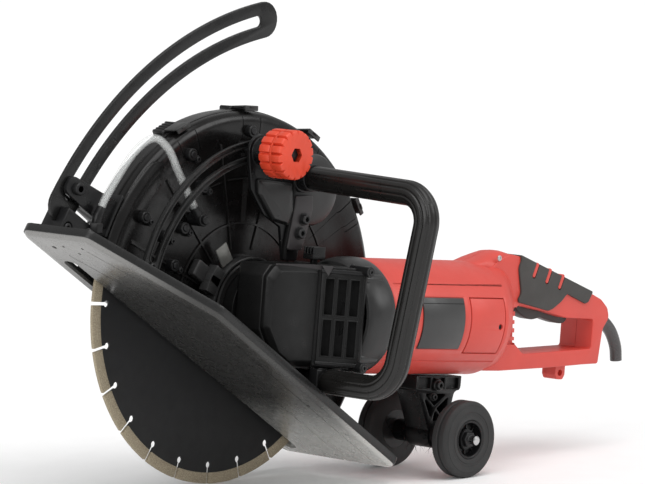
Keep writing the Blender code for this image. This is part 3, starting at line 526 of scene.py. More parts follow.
RED = surface(
    "red_plastic", colour(204, 70, 60), 0.42, grain=0.3, grain_size=0.7, mottle=0.05, rough_spread=0.1,
)
KNOB_RED = surface("knob_red", colour(214, 68, 42), 0.42, grain=0.3, grain_size=0.6, mottle=0.06)
BLACK = surface(
    "black_plastic", colour(16, 16, 17), 0.3, specular=0.26, grain=0.3, grain_size=0.8, edge_wear_and_highlight=0.16,
)
HOOD = surface(
    "hood_plastic", colour(17, 16, 16), 0.24, specular=0.28, grain=0.22, grain_size=0.9, mottle=0.2,
    edge_wear_and_highlight=0.14,
)
CAP = surface("cap_plastic", colour(19, 19, 19), 0.33, specular=0.24, grain=0.35, grain_size=0.6, edge_wear_and_highlight=0.2)
COLLAR = surface(
    "collar_plastic", colour(43, 43, 43), 0.34, specular=0.36, grain=0.3, grain_size=0.6, edge_wear_and_highlight=0.1,
)
STRAP = surface(
    "strap_plastic", colour(50, 47, 48), 0.42, specular=0.35, grain=0.35, grain_size=0.7, edge_wear_and_highlight=0.3,
)
RUBBER = surface(
    "pad_rubber", colour(66, 64, 62), 0.62, specular=0.35, grain=0.6, grain_size=0.5, mottle=0.1,
)
GRIP = surface(
    "grip_rubber", colour(24, 23, 22), 0.3, specular=0.42, grain=0.25, grain_size=0.5, mottle=0.15,
)
TYRE = surface(
    "tyre_rubber", colour(48, 48, 48), 0.66, specular=0.3, grain=0.7, grain_size=0.5, mottle=0.15, edge_wear_and_highlight=0.1,
)
PAINTED = surface(
    "powder_coat", colour(20, 20, 20), 0.28, specular=0.34, grain=0.5, grain_size=0.9, edge_wear_and_highlight=0.25,
)
# Painted reflection on the black base plate: light at the front and the rear, dark in the middle.
PLATE_PAINTED_REFLECTION = (
    (0.0, colour(140, 139, 137)), (0.2, colour(36, 36, 35)), (0.56, colour(42, 42, 41)),
    (0.76, colour(205, 205, 201)), (1.0, colour(232, 232, 228)),
)
PLATE = reflection_painted_coat("plate_coat", PLATE_PAINTED_REFLECTION, -0.37, 0.06, 0.26, 0.45)
SLEEVE = surface("sleeve_rubber", colour(66, 63, 63), 0.26, specular=0.6, grain=0.15, grain_size=0.6)
DARK_STEEL = surface(
    "black_oxide", colour(40, 40, 41), 0.38, metallic=0.7, grain=0.3, grain_size=0.5, edge_wear_and_highlight=0.3,
)
STEEL = surface(
    "zinc_plate", colour(190, 190, 190), 0.28, metallic=1.0, grain=0.2, grain_size=0.4, mottle=0.08,
)
GEAR = surface("ground_steel", colour(150, 150, 152), 0.34, metallic=1.0, grain=0.4, grain_size=0.3)
SILVER = surface("silver_clip", colour(130, 130, 126), 0.3, metallic=0.6, grain=0.3, grain_size=0.6)
CORE = surface("blade_core", colour(27, 27, 28), 0.55, specular=0.35, grain=0.5, grain_size=0.8, mottle=0.1)
SEGMENT = speckled("diamond_segment", colour(128, 116, 98), colour(176, 164, 140), 0.9, 0.8)
LAMINATED = surface(
    "laminations", colour(110, 110, 112), 0.45, metallic=0.8, grain=0.8, brushed=(8.0, 1.0, 1.0),
)
COPPER = surface("copper", colour(196, 120, 80), 0.35, metallic=1.0, grain=0.3, grain_size=0.5)
CARBON = speckled("carbon", colour(26, 26, 27), colour(60, 60, 62), 0.5, 0.5)
LABEL = surface("blank_label", colour(50, 50, 50), 0.38, grain=0.15, grain_size=0.5, mottle=0.06)
TRIGGER = surface("trigger_plastic", colour(46, 42, 40), 0.45, grain=0.3, grain_size=0.6, edge_wear_and_highlight=0.1)
HOSE = surface(
    "clear_hose", (0.86, 0.88, 0.87), 0.08, specular=1.0, grain=0.1, mottle=0.02, rough_spread=0.04,
    alpha=0.2,
)
DARK = surface("shadow_plastic", colour(14, 14, 14), 0.6, specular=0.2, grain=0.3)


# ---------------------------------------------------------------- making pieces

def mesh_object(name, bm):
    mesh = bpy.data.meshes.new(name)
    bm.to_mesh(mesh)
    bm.free()
    obj = bpy.data.objects.new(name, mesh)
    bpy.context.collection.objects.link(obj)
    return obj


def piece(
    name, bm, finish, body, replaces=(), add=(), cut=(), keep=(), bevel=0.0, segments=2,
    sharp=38.0, tangled=False,
):
    """One visible piece: a shape with shapes joined to it, cut from it or kept of it, and its edges
    rounded by a bevel in millimetres. It rides on a body and may stand for some CAD nodes. tangled says
    that the joined shapes overlap each other."""
    obj = mesh_object(name, bm)
    tools = []
    for operation, shapes in (("UNION", add), ("INTERSECT", keep), ("DIFFERENCE", cut)):
        for shape in shapes:
            tool = mesh_object(f"{name}_tool", shape)
            tools.append(tool)
            modifier = obj.modifiers.new(operation, "BOOLEAN")
            modifier.operation = operation
            modifier.object = tool
            modifier.use_self = tangled and operation != "INTERSECT"
    if bevel:
        clean = obj.modifiers.new("whole_faces", "DECIMATE")
        clean.decimate_type = "DISSOLVE"
        clean.angle_limit = math.radians(0.6)
        soften = obj.modifiers.new("edges", "BEVEL")
        soften.width = bevel
        soften.segments = segments
        soften.limit_method = "ANGLE"
        soften.angle_limit = math.radians(30)
        soften.use_clamp_overlap = False
    if obj.modifiers:
        bpy.context.view_layer.update()
        graph = bpy.context.evaluated_depsgraph_get()
        mesh = bpy.data.meshes.new_from_object(obj.evaluated_get(graph), depsgraph=graph)
        obj.modifiers.clear()
        obj.data = mesh
        mesh.name = name
    for tool in tools:
        bpy.data.objects.remove(tool, do_unlink=True)
    mesh = obj.data
    mesh.transform(SAW)
    mesh.shade_smooth()
    mesh.set_sharp_from_angle(angle=math.radians(sharp))
    mesh.materials.clear()
    mesh.materials.append(finish)
    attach(obj, body)
    if replaces:
        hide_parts(*replaces)
    return obj


# ---------------------------------------------------------------- blade and its flanges

def make_blade():
    step = 360 / BLADE_SEGMENTS
    opening = math.degrees(math.asin(GULLET_HALF_WIDTH / GULLET_HOLE))
    mouth = GULLET_HALF_WIDTH / CORE_RADIUS
    outline = []
    for i in range(BLADE_SEGMENTS):
        gullet = i * step
        middle = around(SPINDLE, GULLET_DEPTH, math.radians(gullet))
        outline.append(around(SPINDLE, CORE_RADIUS, math.radians(gullet) - mouth))
        outline += arc(middle, GULLET_HOLE, gullet - opening, gullet - 360 + opening, 12)
        outline.append(around(SPINDLE, CORE_RADIUS, math.radians(gullet) + mouth))
        outline += arc(SPINDLE, CORE_RADIUS, gullet + 2, gullet + step - 2, 8)
    disc = prism("Y", -1.25, 1.25, outline, circle(SPINDLE, 12.7, 48))
    piece("blade_core", disc, CORE, "blade_shaft",
          replaces=("diamond_blade",), bevel=0.15, segments=1)
    edge = math.degrees(1.75 / 172)
    segments = []
    for i in range(BLADE_SEGMENTS):
        start, end = i * step + edge, (i + 1) * step - edge
        band = arc(SPINDLE, BLADE_RADIUS, start, end, 10) + arc(SPINDLE, CORE_RADIUS - 0.4, end, start, 10)
        segments.append(prism("Y", -1.75, 1.75, band))
    piece("blade_segments", joined(*segments), SEGMENT, "blade_shaft", bevel=0.25, segments=2)
    inner = (
        (-8, 12.9), (-8, 22), (-7.4, 25), (-5, 37), (-4.4, 38), (-1.9, 38), (-1.9, 28), (-2.9, 27),
        (-2.9, 12.9),
    )
    outer = ((1.9, 27), (1.9, 38), (4, 38), (4.5, 37.4), (7, 20), (7, 5.4), (2.9, 5.4), (2.9, 27))
    piece("flange_inner", turned("Y", SPINDLE, inner, 96), STEEL, "blade_shaft",
          replaces=("inner_flange",))
    piece("flange_outer", turned("Y", SPINDLE, outer, 96), STEEL, "blade_shaft",
          replaces=("outer_flange",))
    bolt = joined(
        hex_nut("Y", SPINDLE, 9.2, 14.3, 9), soft_disc("Y", SPINDLE, 7.3, 9.3, 11.5, 0.6, 48),
        rod("Y", SPINDLE, -14, 8, 5, 24),
    )
    piece("blade_bolt_head", bolt, DARK_STEEL, "blade_shaft",
          replaces=("blade_bolt",), bevel=0.3)


# ---------------------------------------------------------------- hood

def hood_outline(radius, chord):
    """The hood's side view: a circle cut by the plate's line, with a round heel about the pivot."""
    front_u = -math.sqrt(radius**2 - chord**2)
    front = on_plate(front_u, chord)
    start = math.degrees(math.atan2(front[1], front[0]))
    clear = 22.8 - (chord - GUARD_CHORD)
    below = 270 - math.degrees(PLATE_ANGLE)
    last = below + 48
    tip = Vector(around(PIVOT, clear, math.radians(last)))
    course = Vector((math.cos(math.radians(last + 90)), math.sin(math.radians(last + 90))))
    b = tip.dot(course)
    rear = tip + course * (math.sqrt(b * b - tip.length_squared + radius**2) - b)
    end = math.degrees(math.atan2(rear[1], rear[0]))
    return arc(SPINDLE, radius, end, start, 120) + arc(PIVOT, clear, below, last, 10)


def radial_bar(angle, inner, outer, low, high, half_width):
    """A straight bar along a radius, in degrees."""
    a = math.radians(angle)
    along, across = Vector((math.cos(a), math.sin(a))), Vector((-math.sin(a), math.cos(a)))
    corners = [
        along * inner - across * half_width, along * outer - across * half_width,
        along * outer + across * half_width, along * inner + across * half_width,
    ]
    return prism("Y", low, high, [tuple(c) for c in corners])


BOSSES = ((-143, 87), (-85, 150), (-3, 176), (-65, 119), (-112, 69), (-88, 78), (-98, 41))


def near_dish():
    """The near half as one turned wall: a nose collar, a flat face, a shoulder band and a rounded rim."""
    outer = [
        (-44, 42), (-44, 47.5), (-43, 49), (-27, 49.6), (-23.4, 54), (-22.6, 62), (-22.6, 148), (-23, 167),
        (-25, 171),
    ]
    outer += [(-16 - 9 * math.cos(a), 184.6 + 10.4 * math.sin(a)) for a in quarter(8)]
    outer += [(-11, 195), (-10.4, HOOD_RIM), (GUARD_SPLIT, HOOD_RIM)]
    inner = [(GUARD_SPLIT, HOOD_RIM_INSIDE), (-15, HOOD_RIM_INSIDE)]
    inner += [(-15 - 7 * math.sin(a), 184 + 8 * math.cos(a)) for a in quarter(5)[1:]]
    inner += [(-22, 171), (-19.6, 164), (-19.6, 58), (-25, 46), (-40, 42.5)]
    return turned("Y", SPINDLE, outer + inner, 200)


def far_dish():
    """The far half: a rounded rim and a flat face with a raised band and a raised middle."""
    split = GUARD_SPLIT + 0.3
    wall = [(split, HOOD_RIM), (-1.6, HOOD_RIM), (-1, 195), (6, 195)]
    wall += [(6 + 8 * math.sin(a), 187 + 8 * math.cos(a)) for a in quarter(7)[1:]]
    wall += [(14, 160), (12.6, 156), (12.6, 60), (14, 56), (14, 26), (11, 26), (11, 186)]
    wall += [(6 + 5 * math.sin(a), 187 + 5 * math.cos(a)) for a in reversed(quarter(4)[:-1])]
    wall.append((split, HOOD_RIM_INSIDE))
    return turned("Y", SPINDLE, wall, 200)


def make_hood():
    post_places = [around(SPINDLE, RAIL_RADIUS, math.radians(a)) for a in (92.6, 167.4)]
    posts = [rod("Y", at, -49.7, -22, 4.6, 24) for at in post_places]
    ribs = [radial_bar(a, 60, 166, -24.2, -21, 1.0) for a in (14, 76, 104, 132, 158, 172)]
    ribs += [ring("Y", SPINDLE, -24.2, -21, 84, 86, 128), ring("Y", SPINDLE, -23.8, -21, 128, 129.6, 128)]
    seams = []
    for angle in CLIP_ANGLES.values():
        seams += [radial_bar(angle + side, 150, 198, -27, -23.2, 0.5) for side in (3.9, -3.9)]
    fan_grooves = [radial_bar(a, 120, 198, -26, -22.3, 0.35) for a in (30, 36, 42)]
    outline = hood_outline(199, GUARD_CHORD)
    piece(
        "hood_near", near_dish(), HOOD, "guard", replaces=("guard_inner_shell",),
        add=(joined(*posts), joined(*ribs)), keep=(prism("Y", -46, -5, outline),),
        cut=(joined(*seams), joined(*fan_grooves), rod("Y", PIVOT, -30, 0, PIVOT_HOLE, 24)),
        sharp=32, tangled=True,
    )
    far_ribs = [radial_bar(a, 62, 158, 11, 14.4, 1.2) for a in range(8, 180, 14)]
    piece(
        "hood_far", far_dish(), HOOD, "guard", replaces=("guard_outer_shell",),
        add=(joined(*far_ribs),), keep=(prism("Y", -7, 16, outline),),
        cut=(rod("Y", PIVOT, 0, 20, PIVOT_HOLE, 24),), sharp=32,
    )


def make_hood_screws():
    pillars, screws = [], []
    for at in BOSSES:
        pillars.append(boss("Y", at, -21.5, -31, 6.2))
        screws.append(soft_disc("Y", at, -32.2, -29.3, 3.4, 0.8, 24))
        beside = (at[0] + 9.5, at[1] - 4.5)
        pillars.append(boss("Y", beside, -21.5, -28, 4.2))
        screws.append(socket_screw("Y", beside, -27.4, -1, 2.8, 2.6))
    piece("hood_bosses", joined(*pillars), BLACK, "guard")
    piece("hood_screws", joined(*screws), DARK_STEEL, "guard")
    far_screws = []
    for angle in (20, 48, 78, 104, 132, 160):
        at = around(SPINDLE, 172, math.radians(angle))
        far_screws += [boss("Y", at, 13.4, 17.5, 6.0), socket_screw("Y", at, 15.7, 1, 3.2, 2.4)]
    piece("hood_far_screws", joined(*far_screws), BLACK, "guard")


def make_nose_clamp():
    """The band that clamps the hood's collar on the gear case, with its lugs, a plate and a block."""
    band = ring("Y", SPINDLE, -42, -31, 49.8, 52.6, 96)
    lugs = [radial_bar(angle, 52, 66, -42, -31, 9) for angle in (147, 156)]
    piece("nose_clamp_band", joined(band, *lugs), COLLAR, "guard", bevel=0.7)
    plate = radial_bar(124, 54, 74, -36, -34.4, 8)
    piece("nose_clamp_plate", plate, SILVER, "guard", bevel=0.4)
    wedge = radial_bar(150, 60, 82, -34, -24, 9)
    piece("nose_block", wedge, COLLAR, "guard", bevel=2.4, segments=4)


def make_clips():
    """Each latch is a ribbed hinge block over the far half and a lever plate over the near half."""
    for place, angle in CLIP_ANGLES.items():
        lift = Matrix.Translation((0, 0, GUARD_RADIUS - 2.2))
        turn = Matrix.Rotation(math.radians(90 - angle), 4, "Y") @ lift
        ribs = [box((-10.5 + 4.4 * k, -3.5, 4.4), (-8.2 + 4.4 * k, 10.6, 6.4)) for k in range(5)]
        block = box((-11, -4, 0.6), (11, 11, 5.2))
        piece(f"clip_block_{place}", moved(block, turn), BLACK, "guard",
              replaces=(f"guard_clip_{place}",), add=(moved(joined(*ribs), turn),), bevel=0.5)
        plate = joined(
            box((-9, -22.5, 4.6), (9, -4.4, 6.4)), box((-9, -24, 1.2), (9, -22, 6.4)),
            box((-3, -25.6, 4.2), (3, -23, 5.6)),
        )
        moved(plate, Matrix.Rotation(math.radians(-5), 4, "X"))
        piece(f"clip_lever_{place}", moved(plate, turn), COLLAR, "guard", bevel=0.4)
        pin = rod("X", (-4, 4.8), -11.6, 11.6, 1.5, 16)
        piece(f"clip_pin_{place}", moved(pin, turn), DARK_STEEL, "guard")


def make_rail():
    band = arc_band(SPINDLE, RAIL_RADIUS, 11, 94, 166, 60)
    slot = arc_band(SPINDLE, RAIL_RADIUS, 4.4, 97.4, 162, 60)
    inner_band = arc_band(SPINDLE, RAIL_RADIUS, 9.2, 94, 166, 60)
    slot_lip = arc_band(SPINDLE, RAIL_RADIUS, 6.0, 97.4, 162, 60)
    piece(
        "rail", prism("Y", -53.0, -50, band, slot), PAINTED, "guard", replaces=("guide_rail",),
        add=(prism("Y", -54.4, -52, band, inner_band), prism("Y", -53.9, -52, slot_lip, slot)), bevel=0.3,
    )
    bolt_places = [around(SPINDLE, RAIL_RADIUS, math.radians(a)) for a in (95.2, 165.0)]
    bolts = [socket_screw("Y", at, -53, -1, 3.6, 3.4) for at in bolt_places]
    piece("rail_screws", joined(*bolts), DARK_STEEL, "guard")


def make_front_bracket():
    """The fork on the hood that the depth arc slides through, with its saddle and clamp bolt."""
    clamp = Vector(around(PIVOT, ARC_RADIUS, CLAMP_ANGLE))
    inward = -clamp.normalized()
    across = Vector((-inward.y, inward.x))
    root = clamp + inward * (clamp.length - GUARD_RADIUS - 1.4)
    corners = [
        tuple(clamp - inward * 12 + across * 9), tuple(clamp - inward * 12 - across * 9),
        tuple(root - across * 15), tuple(root + across * 15),
    ]
    path = arc_band(PIVOT, ARC_RADIUS, ARC_HALF_WIDTH + 2, 90, 200, 60)
    slot = prism("Y", ARC_NEAR - 0.5, ARC_FAR + 0.5, path)
    piece(
        "fork", prism("Y", -18, -2, rounded(corners, [7, 7, 2, 2])), BLACK, "guard",
        replaces=("front_bracket",), cut=(slot,), bevel=0.6,
    )
    start = math.degrees(math.atan2(clamp.y, clamp.x))
    saddle = arc(SPINDLE, GUARD_RADIUS + 4.2, start - 6.5, start + 6.5, 8)
    saddle += arc(SPINDLE, GUARD_RADIUS + 0.9, start + 6.5, start - 6.5, 8)
    piece("fork_saddle", prism("Y", -21, 10, saddle), BLACK, "guard", bevel=0.7)
    bolt = joined(
        socket_screw("Y", clamp, -18.1, -1, 6.2, 6), rod("Y", clamp, -18, -2, 2.6, 20),
        hex_nut("Y", clamp, -1.9, 3.6, 6.4), soft_disc("Y", clamp, -2.1, -0.9, 7.6, 0.3, 32),
    )
    piece("arc_clamp_bolt", bolt, DARK_STEEL, "guard", bevel=0.2)


HOSE_ROUTE = (
    (-203, -27, 92), (-193, -27, 110), (-168, -30, 147), (-146, -34, 164), (-126, -36, 155),
    (-108, -36, 131), (-78, -36, 92),
)


def make_hose():
    route = denser(smooth_route(HOSE_ROUTE, 10), 2.5)
    tube = swept(route, steady(4.0), 28, bore=2.6)
    piece("hose", tube, HOSE, "guard", replaces=("water_hose",))
    inlet_route = [Vector((-206, -26, 78)), Vector((-205, -26.5, 86)), Vector((-201, -27, 95))]
    inlet = joined(
        swept(inlet_route, lambda share, turn: 5.6 - 0.8 * share, 24),
        soft_disc("Z", (-206, -26), 70, 80, 7.2, 1.2, 6),
    )
    piece("hose_inlet", inlet, BLACK, "guard", bevel=0.4)
    nozzle = joined(
        soft_disc("Y", (-74, 87), -42, -23.5, 6.4, 1.0, 32),
        soft_disc("Y", (-74, 87), -45, -41, 4.4, 1.0, 32),
        swept([Vector((-84, -36, 99)), Vector((-74, -36, 87))], steady(5.0), 24),
    )
    piece("hose_nozzle", nozzle, BLACK, "guard", bevel=0.3)


def make_pivots():
    for side, seat, out, inner in (("near", -31.3, -1, -16), ("far", 20.3, 1, 6)):
        bolt = joined(
            hex_nut("Y", PIVOT, *sorted((seat, seat + out * 5)), 8),
            soft_disc("Y", PIVOT, *sorted((seat - out * 0.2, seat + out * 1.0)), 9.6, 0.3, 40),
            rod("Y", PIVOT, *sorted((seat, inner)), 4.8, 24),
        )
        piece(f"pivot_{side}", bolt, DARK_STEEL, "guard",
              replaces=(f"pivot_bolt_{side}",), bevel=0.25)


# ---------------------------------------------------------------- base plate and depth arc

PLATE_OUTLINE = ((-260.7, 25), (-260.7, -69.5), (-124, -137), (193, -130.6), (190, 25))
BLADE_SLOT = ((-208, 9), (-208, -9), (176, -9), (176, 9))
SMALL_PLATE_HOLES = ((-240, -22), (-228, -34), (-240, -48), (-180, -88), (-60, -112), (60, -112), (150, -106))
LARGE_PLATE_HOLES = ((-236, -6), (176, -60), (120, -118))
PLATE_LINES = (
    ((-222, -14), (-130, -66)), ((-130, -66), (150, -66)), ((-236, -50), (-126, -112)),
    ((-126, -112), (176, -108)),
)


def inset_outline(outline, inset):
    """The outline with every side moved inwards, or outwards when the inset is below zero."""
    count = len(outline)
    points = []
    for i in range(count):
        before, here, after = (Vector(outline[(i + k) % count]) for k in (-1, 0, 1))
        one, two = (here - before).normalized(), (after - here).normalized()
        bisector = (Vector((-one.y, one.x)) + Vector((-two.y, two.x))).normalized()
        points.append(tuple(here + bisector * (inset / bisector.dot(Vector((-one.y, one.x))))))
    return points


def pressed_tray(outline, wall, bend, steps):
    """A sheet with a turned-up edge: the outline grows from the flat floor through a round bend."""
    low = PLATE_TOP - wall
    levels = []
    for a in quarter(steps):
        levels.append((bend * (1 - math.sin(a)), low + bend * (1 - math.cos(a))))
    outside = [[Vector((*p, z)) for p in inset_outline(outline, inset)] for inset, z in levels]
    outside.append([Vector((*p, FLANGE_TOP)) for p in outline])
    inner_bend = bend - wall
    inside = [[Vector((*p, FLANGE_TOP)) for p in inset_outline(outline, wall)]]
    for a in reversed(quarter(steps)):
        inset = wall + inner_bend * (1 - math.sin(a))
        level = PLATE_TOP + inner_bend * (1 - math.cos(a))
        inside.append([Vector((*p, level)) for p in inset_outline(outline, inset)])
    return lofted(outside + inside)


def make_plate():
    outline = rounded(PLATE_OUTLINE, [14, 10, 24, 13, 13], 7)
    slot = rounded(BLADE_SLOT, 8.5, 8)
    low = PLATE_TOP - PLATE_THICKNESS
    pivot_u = PIVOT[0] * math.cos(PLATE_ANGLE) - PIVOT[1] * math.sin(PLATE_ANGLE)
    foot = PLATE_TOP - PLATE_THICKNESS / 2
    ear = [on_plate(pivot_u + 24, foot), *arc(PIVOT, 12, -25, 150, 24), on_plate(pivot_u - 28, foot)]
    ears = [prism("Y", a, b, ear, circle(PIVOT, PIVOT_HOLE, 32)) for a, b in ((-31, -28), (17, 20))]
    holes = [rod("Z", at, low - 1, PLATE_TOP + 1, 1.7, 16) for at in SMALL_PLATE_HOLES]
    holes += [rod("Z", at, low - 1, PLATE_TOP + 1, 2.6, 20) for at in LARGE_PLATE_HOLES]
    lines = [prism("Z", low - 1, low + 0.5, line_strip(a, b, 0.55)) for a, b in PLATE_LINES]
    notch = rod("Z", (-258, -68), -62, -50, 4.2, 20)
    tray = moved(pressed_tray(outline, PLATE_THICKNESS, 6.5, 6), ON_PLATE)
    piece(
        "plate", tray, PLATE, "base", replaces=("base_plate",), add=(joined(*ears),),
        cut=(moved(prism("Z", low - 2, PLATE_TOP + 3, slot), ON_PLATE), moved(joined(*holes), ON_PLATE),
             *(moved(line, ON_PLATE) for line in lines), moved(notch, ON_PLATE)),
        sharp=40,
    )
    rim = prism("Z", low + 3.4, FLANGE_TOP, inset_outline(outline, -0.3), inset_outline(outline, 0.8))
    piece("plate_rim", moved(rim, ON_PLATE), PAINTED, "base", bevel=0.3)
    curl_profile = ((-259.5, 0), (-259.5, 3.2), (-258.5, 4.2), (-249, 4.2), (-248, 3.2), (-248, 0))
    curl = turned("X", (-64.5, -57.5), curl_profile, 28)
    piece("plate_curl", moved(curl, ON_PLATE), PAINTED, "base")


def line_strip(start, end, half_width):
    a, b = Vector(start), Vector(end)
    across = Vector((a.y - b.y, b.x - a.x)).normalized() * half_width
    return [tuple(a - across), tuple(b - across), tuple(b + across), tuple(a + across)]


def make_arc():
    """The slotted depth arc and the block that holds its front end on the plate."""
    band = arc_band(PIVOT, ARC_RADIUS, ARC_HALF_WIDTH, 103, 150.2, 90)
    slot = arc_band(PIVOT, ARC_RADIUS, ARC_SLOT_HALF, 104.4, 148.6, 90)
    piece(
        "arc", prism("Y", ARC_NEAR, ARC_FAR, band, slot), PAINTED, "base",
        replaces=("depth_arc",), bevel=0.8, segments=3,
    )
    block = moved(box((-256, -24, PLATE_TOP + 0.3), (-214, 4, -33)), ON_PLATE)
    path = arc_band(PIVOT, ARC_RADIUS, ARC_HALF_WIDTH + 0.4, 100, 150.2, 60)
    pocket = prism("Y", ARC_NEAR - 0.3, ARC_FAR + 0.3, path)
    seats = [on_plate(u, -50) for u in (-247, -223)]
    wells = [rod("Y", at, -30, -20, 5.2, 24) for at in seats]
    piece("arc_holder", block, BLACK, "base", replaces=("arc_block",),
          cut=(pocket, joined(*wells)), bevel=1.2, segments=3)
    screws = [socket_screw("Y", at, -20.5, -1, 4.4, 4) for at in seats]
    heads = []
    for y in (-17, 0):
        dome = soft_disc("Z", (-249 if y else -245, y * 0.9), -37, -31, 5.6, 2.6, 28)
        heads.append(moved(dome, ON_PLATE))
    piece("arc_holder_screws", joined(*screws, *heads), DARK_STEEL, "base")


# ---------------------------------------------------------------- gear case

def make_gear_case():
    side = (
        (-46, -100.3), (-46, -68), (-38, -60), (46, -60), (63.7, -36), (63.7, -138), (60, -138), (26, -104),
        (26, -100.3),
    )
    nose_profile = ((-61, 18.2), (-27.6, 18.2), (-27.6, 40.2), (-28.4, 41), (-57, 41), (-61, 46))
    nose = turned("Y", SPINDLE, nose_profile, 128)
    corners = joined(
        prism("Y", -112, -59.5, ((-60, -60), (-10, -60), (-10, -50.6), (-30, -41), (-46.5, -14), (-60, -14))),
        prism("Y", -112, -59.5, ((-60, 60), (-60, 38), (-46.5, 38), (-36, 50.6), (-36, 60))),
    )
    piece(
        "case", prism("Z", -50, 50, side), CAP, "machine",
        replaces=("gear_case",), add=(nose,),
        cut=(rod("Y", SPINDLE, -66, -20, 18.2, 64), rod("Z", (47, -79), 43, 56, 4, 24), corners,
             grille_slab(1.5, 40.5, -43, 43, 9, 6)),
        bevel=1.6, segments=3,
    )


def make_case_cap():
    """The near cap, the grey ridge along its top and the screws that hold the grille's corner."""
    corners = ((-46, -12), (-28, -40), (-10, -50), (26, -50), (26, 50), (-34, 50), (-46, 38))
    outline = rounded(corners, [8, 10, 8, 2, 2, 8, 8])
    middle = Vector((-8, 0))

    def level(y, share):
        return [placed("Y", y, middle + (Vector(p) - middle) * share) for p in outline]

    levels = ((-100.6, 1.0), (-104.6, 1.0), (-105.6, 0.985), (-109.2, 0.9), (-110.3, 0.87))
    cap = lofted([level(y, share) for y, share in levels])
    piece("case_cap", cap, CAP, "machine", replaces=("gear_case_cap",),
          bevel=0.9, segments=3, sharp=50)
    ridge = lofted([
        [Vector((-34, -104.5, z)) for z in (48.6, 50.6, 51.0)],
        [Vector((18, -107.5, z)) for z in (47.0, 50.6, 51.2)],
        [Vector((30, -112.0, z)) for z in (45.5, 50.2, 51.0)],
    ])
    piece("case_ridge", ridge, STRAP, "machine", bevel=0.3)
    tip = lofted([
        [Vector((24, -112.0, 50.6)), Vector((33, -119.5, 50.6)), Vector((29, -117.0, 40.5))],
        [Vector((26, -110.0, 50.6)), Vector((35, -117.5, 50.6)), Vector((31, -115.0, 40.5))],
    ])
    piece("case_ridge_tip", tip, STRAP, "machine", bevel=0.5)
    places = ((58.5, 47.5), (58.5, -47.5))
    lugs = [boss("Y", at, -120, -146.5, 5.6) for at in places]
    screws = [socket_screw("Y", at, -145.2, -1, 3.2, 2.2) for at in places]
    piece("case_lugs", joined(*lugs), BLACK, "machine")
    piece("case_screws", joined(*screws), DARK_STEEL, "machine")


def grille_slab(a, b, low, high, below, above):
    """A block on the case's slanted corner: along the slope, in height, and in depth below and above."""
    slope, out = Vector((1, -1, 0)).normalized(), Vector((-1, -1, 0)).normalized()
    start = Vector((26, -104, 0)) + slope * 5.0 + out * 0.3
    corners = [start + slope * a - out * below, start + slope * b - out * below]
    corners += [start + slope * b + out * above, start + slope * a + out * above]
    return lofted([[c + Vector((0, 0, z)) for c in corners] for z in (low, high)])


def make_grille():
    holes, frames = [], []
    for column in range(3):
        left = 4.5 + column * 12.5
        for low, high in ((-38, -2.6), (2.6, 38)):
            holes.append(grille_slab(left, left + 8, low, high, 3, 8))
            frames.append(grille_slab(left - 1.1, left + 9.1, low - 1.1, high + 1.1, -3.0, 4.3))
    piece(
        "grille", grille_slab(0, 42, -45, 45, 0, 3.4), CAP, "machine",
        replaces=("vent_grille",), add=(joined(*frames),), cut=(joined(*holes),), bevel=0.4, segments=3,
    )
    # A near-black sheet at the back of the vent holes: painted shade inside the vents.
    piece("grille_shade_sheet", grille_slab(1.6, 40.4, -42.8, 42.8, 8.4, -8.0), DARK, "machine")
    lips = joined(grille_slab(-1, 43, 43.5, 47.5, 2, 5.2), grille_slab(-1, 43, -47.5, -43.5, 2, 5.2))
    piece("grille_hoods", lips, BLACK, "machine", bevel=1.0, segments=3)


def make_collar():
    profile = (
        (64, 50), (97.7, 50), (97.7, 58.0), (96.6, 58.6), (90, 59), (78, 58.6), (71, 57.2), (66, 55),
        (64, 53.4),
    )
    piece("collar", turned("X", MOTOR, profile, 128), COLLAR, "machine",
          replaces=("fan_housing",))
    lugs = [soft_disc("X", (MOTOR_Y + 55 * math.cos(a), 55 * math.sin(a)), 66, 92, 5.5, 2.0, 24)
            for a in (math.radians(d) for d in (45, 135, 225, 315))]
    piece("collar_lugs", joined(*lugs), COLLAR, "machine")


def make_lock_button():
    x, y = 47, -79
    ridges = [box((x - 8.6, y - 7 + 3.9 * k, 56), (x + 8.6, y - 4.9 + 3.9 * k, 67)) for k in range(4)]
    base = box((x - 9, y - 7, 54.5), (x + 9, y + 7, 59.5))
    piece(
        "lock_button", joined(*ridges), BLACK, "spindle_lock_button",
        replaces=("spindle_lock_button",), add=(base, rod("Z", (x, y), 40, 56, 3.6, 24)),
        bevel=0.7, segments=3,
    )


# ---------------------------------------------------------------- motor housing

def wall_sector(low, high, inner, outer, bottom, top, steps=24):
    """A curved slab of the motor's near wall, between two heights on its outside and two radii."""
    start = 180 - math.degrees(math.asin(top / MOTOR_RADIUS))
    end = 180 - math.degrees(math.asin(bottom / MOTOR_RADIUS))
    return prism("X", low, high, arc(MOTOR, outer, start, end, steps) + arc(MOTOR, inner, end, start, steps))


